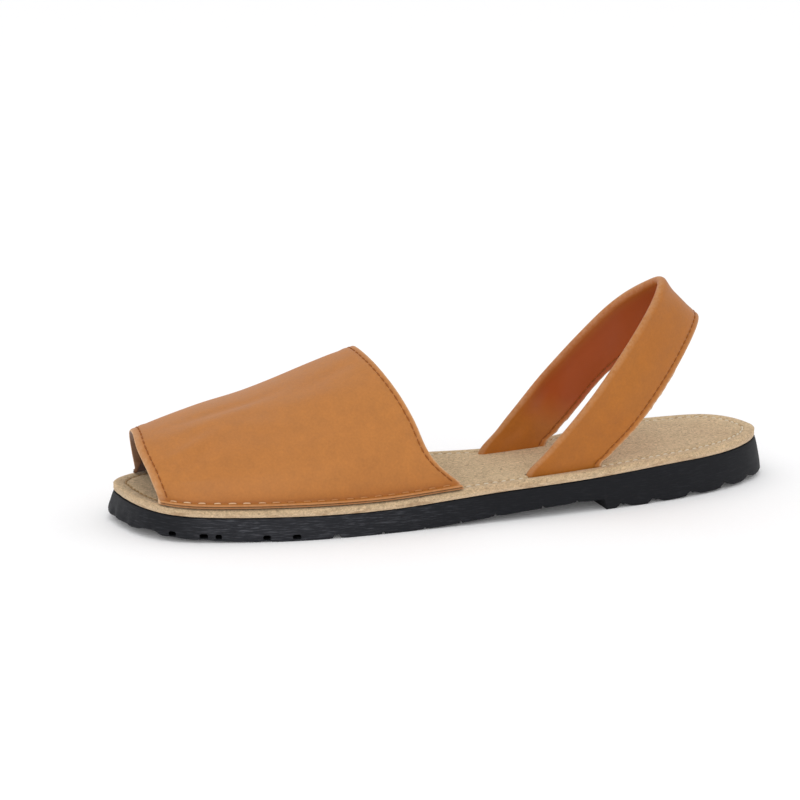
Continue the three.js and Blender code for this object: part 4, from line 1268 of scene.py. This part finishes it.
def suede():
    material, tree, shader = start_material("footbed_suede_split", Roughness=0.95, Sheen_Weight=0.1,
                                            Sheen_Roughness=0.5, IOR=1.45, Specular_IOR_Level=0.3)
    smear = noise(tree, 6, detail=5, rough=0.62, stretch=(1, 1.8, 1))
    nap = noise(tree, 0.7, detail=3, rough=0.6, stretch=(1, 1.5, 1), distortion=1.2)
    smeared = add_node(tree, "ValToRGB", [smear], [(0.50, 0.0), (0.72, 0.42)])
    base = from_hex("#CBB38C")
    for share, tone in ((noise(tree, 22), "#B89A78"), (smeared, "#A88F6C")):
        base = add_node(tree, "Mix", {SHARE: share, FIRST: base, SECOND: from_hex(tone)}, data_type="RGBA")
    nap_tone = add_node(tree, "Math", [nap, 2.1, -0.05], operation="MULTIPLY_ADD")
    base = add_node(tree, "Mix", {SHARE: 1.0, FIRST: base, SECOND: nap_tone}, data_type="RGBA",
                    blend_type="MULTIPLY")
    specks = add_node(tree, "ValToRGB", [noise(tree, 1.2, detail=2, rough=0.5)], [(0.60, 0.0), (0.72, 0.6)])
    seam_shade, edge = ((add_node(tree, "Attribute", attribute_name=painted), "Fac") for painted in ("seam_shade", "wear_and_highlight"))
    marks = add_node(tree, "ValToRGB", [noise(tree, 3.5, detail=4, rough=0.7, stretch=(3, 3, 0.5))],
                     [(0.50, 0.0), (0.62, 1.0)])
    marked = add_node(tree, "Math", [edge, marks], operation="MULTIPLY", use_clamp=True)
    # the seam tone is painted shade along the sewing channel
    dress(tree, shader, base, [(specks, 1, "#7D6448"), (edge, 0.5, "#D2BA9E"), (marked, 0.6, "#86603C"),
                               (seam_shade, 0.5, "#8A6E4A")], [(smear, 0.5, 0.3), (nap, 0.75, 0.35)])
    return material


footbed.data.materials.append(suede())
print("footbed's finish:", footbed.data.materials[0].name)

# %% Paint the footbed's seam shade and edge
bed_place = draft_corners(footbed)


def distance_to(line):
    """How far each corner of the board is, in plan, from a closed line of points."""
    line = np.array(line)[:, :2]
    return np.array([np.hypot(*(line - place[:2]).T).min() for place in bed_place])


on_top = bed_place[:, 2] > footbed_top(bed_place[:, 1]) - 1.0
below_top = np.clip((footbed_top(bed_place[:, 1]) - 0.9 - bed_place[:, 2]) / 1.6, 0, 1)
edge_line = [outline_point(turn, side) for side in (1, -1) for turn in np.linspace(0, 180, 361)]
paint(footbed, "wear_and_highlight", np.where(on_top, 0.25 * np.exp(-distance_to(edge_line) / 1.6), below_top))
# painted shade along the sewing channel
paint(footbed, "seam_shade", np.where(on_top, bell(distance_to(footbed_row()[0]), 0.6), 0.0))
print("board corners on top:", int(on_top.sum()))

# %% [markdown]
# The sole is vulcanised black rubber, the kind cut from tyre stock. Its side has been ground on a wheel,
# which leaves it matt with fine lines along the shoe and grey dust in them. Rubber is nearly black, with
# a weak broad gloss.

# %% Ground rubber


def ground_rubber():
    material, tree, shader = start_material("ground_black_rubber", Roughness=0.62, IOR=1.52,
                                            Specular_IOR_Level=0.12)
    lines = noise(tree, 0.32, detail=3, rough=0.65, stretch=(16, 16, 1))
    fine = noise(tree, 0.7, detail=4, rough=0.7)
    patch = noise(tree, 16, detail=3, stretch=(1.5, 1.5, 0.4))
    along = add_node(tree, "SeparateXYZ", {"Vector": (add_node(tree, "TexCoord"), "Object")})
    from_heel_tip = add_node(tree, "Math", [(along, "Y"), -4.0, 0.5], operation="MULTIPLY_ADD")
    # a lighter grey over the forefoot's side, which falls off at the toe tip as painted shade
    forefoot_grey_and_toe_shade = add_node(tree, "ValToRGB", [from_heel_tip],
                        [(0.48, 0.12), (0.62, 0.55), (0.78, 1.0), (0.90, 1.0), (0.96, 0.35)])
    dust = add_node(tree, "ValToRGB", [lines], [(0.50, 0.0), (0.72, 1.0)])
    for share in (patch, forefoot_grey_and_toe_shade):
        dust = add_node(tree, "Math", [dust, share], operation="MULTIPLY")
    # painted shade inside the notches, near black
    notch_shade = add_node(tree, "Attribute", attribute_name="notch_shade"), "Fac"
    gloss = add_node(tree, "Math", [patch, 0.3, 0.42], operation="MULTIPLY_ADD")
    dress(tree, shader, from_hex("#101114"), [(patch, 1, "#17181C"), (forefoot_grey_and_toe_shade, 0.4, "#303136"),
                                              (dust, 1, "#63646A"), (notch_shade, 1, "#030304")],
          [(lines, 0.6, 0.12), (fine, 0.4, 0.12)], Roughness=gloss)
    return material


outsole.data.materials.append(ground_rubber())

# the corners inside a notch, away from the side wall and above the tread, are given a painted shade, near black
sole_place = draft_corners(outsole)
outer_line, inner_line = (np.array([outline_point(turn, side)[:2] for turn in np.linspace(180, 0, 721)])
                          for side in (1, -1))
outer_x, inner_x = (np.interp(sole_place[:, 1], line[:, 1], line[:, 0]) for line in (outer_line, inner_line))
inside_wall = np.minimum(outer_x - sole_place[:, 0], sole_place[:, 0] - inner_x)
above_tread = sole_place[:, 2] - whole_under(sole_place[:, 1])
in_notch = (above_tread > 0.3) & (sole_place[:, 2] < deck_height(sole_place[:, 1]) - 3)
paint(outsole, "notch_shade", np.clip((inside_wall - 0.5) / 0.8, 0, 1) * in_notch)
print("corners inside notches:", int((in_notch & (inside_wall > 0.5)).sum()))

# %% [markdown]
# Thread is bonded polyester, two plies twisted together. It is matt with a faint sheen, and the holes it
# goes down are dark discs of painted shade.

# %% Threads


def thread_finish(name, main_tone, other_tone, zone):
    material, tree, shader = start_material(name, Roughness=0.8, Specular_IOR_Level=0.25)
    ply = noise(tree, 0.35, detail=2)
    between_plies = [0.75 * v for v in from_hex(main_tone)[:3]] + [1.0]
    base = add_node(tree, "Mix", {SHARE: ply, FIRST: from_hex(main_tone), SECOND: between_plies}, data_type="RGBA")
    along = add_node(tree, "SeparateXYZ", {"Vector": (add_node(tree, "TexCoord"), "Object")})
    from_toe_tip = add_node(tree, "Math", [(along, "Y"), 4.0, 0.5], operation="MULTIPLY_ADD")
    other_tone_share = add_node(tree, "ValToRGB", [from_toe_tip], zone)
    dress(tree, shader, base, [(other_tone_share, 1, other_tone)], [(ply, 0.6, 0.1)])
    return material


# painted shade: each needle hole is a small dark disc
leather_hole_shade, _, _ = start_material("needle_hole_shade", Roughness=0.9, Base_Color=from_hex("#5C2F10"))
suede_hole_shade, _, _ = start_material("suede_needle_hole", Roughness=0.95, Base_Color=from_hex("#7C6344"))
# share of the way from toe to heel, and how much of the thread's other tone it takes there
EVEN = [(0.0, 0.0), (1.0, 0.0)]
PALE_BY_TOE = [(0.03, 0.8), (0.06, 0.0), (0.15, 0.0), (0.20, 0.85)]
DARKER_BY_TOE = [(0.10, 1.0), (0.26, 0.25)]
SEWING = [
    (upper_thread, "tan_thread", "#9A5A26", "#9A5A26", EVEN, leather_hole_shade),
    (strap_thread, "strap_thread_tan", "#96561F", "#96561F", EVEN, leather_hole_shade),
    (flange_thread, "pale_thread", "#EBC8A0", "#B4763C", PALE_BY_TOE, leather_hole_shade),
    (bed_thread, "natural_thread", "#EFE4CC", "#9A7C55", DARKER_BY_TOE, suede_hole_shade),
]
for piece, name, main_tone, other_tone, zone, hole in SEWING:
    piece.data.materials.append(thread_finish(name, main_tone, other_tone, zone))
    piece.data.materials.append(hole)
print("threads:", [row[1] for row in SEWING])

# %% [markdown]
# Each piece is tied to the frame's root, and the solid it stands for is hidden. The table lists each piece, which
# solid it stands for and whose finish it takes.

# %% Tie the pieces to the frame
PIECES = [
    (outsole, "outsole", "outsole"), (footbed, "footbed", "footbed"), (vamp, "vamp", "vamp"),
    (strap, "heel_strap", "heel_strap"), (upper_thread, None, "vamp"), (flange_thread, None, "vamp"),
    (strap_thread, None, "heel_strap"), (bed_thread, None, "footbed"),
]
for piece, node, slot in PIECES:
    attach(piece, "root")
    if node:
        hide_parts(node)
print("pieces tied:", len(PIECES))

# %% [markdown]
# A product shoe stands on white paper under large soft lamps, so the floor is nearly white and burns out,
# and all that is left of it is the soft grey shade under the sole. The sky is an even white, as a light
# tent is, and one big lamp above and behind the camera gives the leather its broad highlight.

# %% Floor and light
FLOOR_HALF = 4.5
floor_mesh = bpy.data.meshes.new("floor")
floor_mesh.from_pydata([(x * FLOOR_HALF, y * FLOOR_HALF, 0) for x, y in ((-1, -1), (1, -1), (1, 1), (-1, 1))],
                       [], [(0, 1, 2, 3)])
floor = bpy.data.objects.new("floor", floor_mesh)
bpy.context.scene.collection.objects.link(floor)
paper, paper_tree, paper_shader = start_material("white_paper", Roughness=0.85, Emission_Color=(1, 1, 1, 1),
                                                 Emission_Strength=0.05)
paper_grain = noise(paper_tree, 1.4, detail=3, rough=0.7)
dress(paper_tree, paper_shader, from_hex("#FAFAFB"), [(paper_grain, 1, "#F5F5F6")], [])
floor_mesh.materials.append(paper)

world = bpy.data.worlds.new("light_tent")
world.use_nodes = True
world.node_tree.nodes["Background"].inputs["Color"].default_value = (1.0, 1.0, 1.0, 1.0)
world.node_tree.nodes["Background"].inputs["Strength"].default_value = 1.0
bpy.context.scene.world = world
bpy.context.scene.view_settings.view_transform = "Standard"

# lamp, place in metres, point it looks at, width, power in watts
LAMPS = [
    ("top_lamp", (0.1, -0.3, 1.7), (0.0, 0.0, 0.03), 1.1, 1.0),
    ("camera_side_lamp", (1.7, -0.9, 0.7), (0.0, 0.0, 0.04), 0.9, 6.0),
]
for name, place, target, width, power in LAMPS:
    data = bpy.data.lights.new(name, "AREA")
    data.shape, data.size, data.energy = "DISK", width, power
    lamp = bpy.data.objects.new(name, data)
    lamp.location = place
    lamp.rotation_euler = (Vector(target) - Vector(place)).to_track_quat("-Z", "Y").to_euler()
    bpy.context.scene.collection.objects.link(lamp)
print("lamps:", [lamp[0] for lamp in LAMPS])

# %% [markdown]
# The camera stands where the photographer's stood: a little above the sole, turned so that the outer side
# and the toe show, and far enough off for a long lens. Its place was found by fitting measured marks of
# the shoe to the photograph.

# %% Camera
CAMERA_AZIMUTH, CAMERA_ELEVATION, CAMERA_ROLL = 71.404, 13.0, -0.35
CAMERA_DISTANCE, CAMERA_TARGET, LENS = 1150.0, np.array([0.0, -18.476, 38.868]), 139.3


def place_camera():
    a, e, r = (math.radians(v) for v in (CAMERA_AZIMUTH, CAMERA_ELEVATION, CAMERA_ROLL))
    look = np.array([-math.sin(a) * math.cos(e), math.cos(a) * math.cos(e), -math.sin(e)])
    right = np.array([math.cos(a), math.sin(a), 0.0])
    up = np.cross(right, look)
    across = math.cos(r) * right + math.sin(r) * up
    upward = -math.sin(r) * right + math.cos(r) * up
    stand = to_row(CAMERA_TARGET - look * CAMERA_DISTANCE)
    data = bpy.data.cameras.new("camera")
    data.lens, data.sensor_width, data.clip_start = LENS, 36.0, 0.05
    camera = bpy.data.objects.new("camera", data)
    matrix = Matrix([[across[k], upward[k], -look[k], stand[k]] for k in range(3)] + [[0, 0, 0, 1]])
    camera.matrix_world = matrix
    bpy.context.scene.collection.objects.link(camera)
    bpy.context.scene.camera = camera
    print("camera at", [round(v, 3) for v in stand])


place_camera()
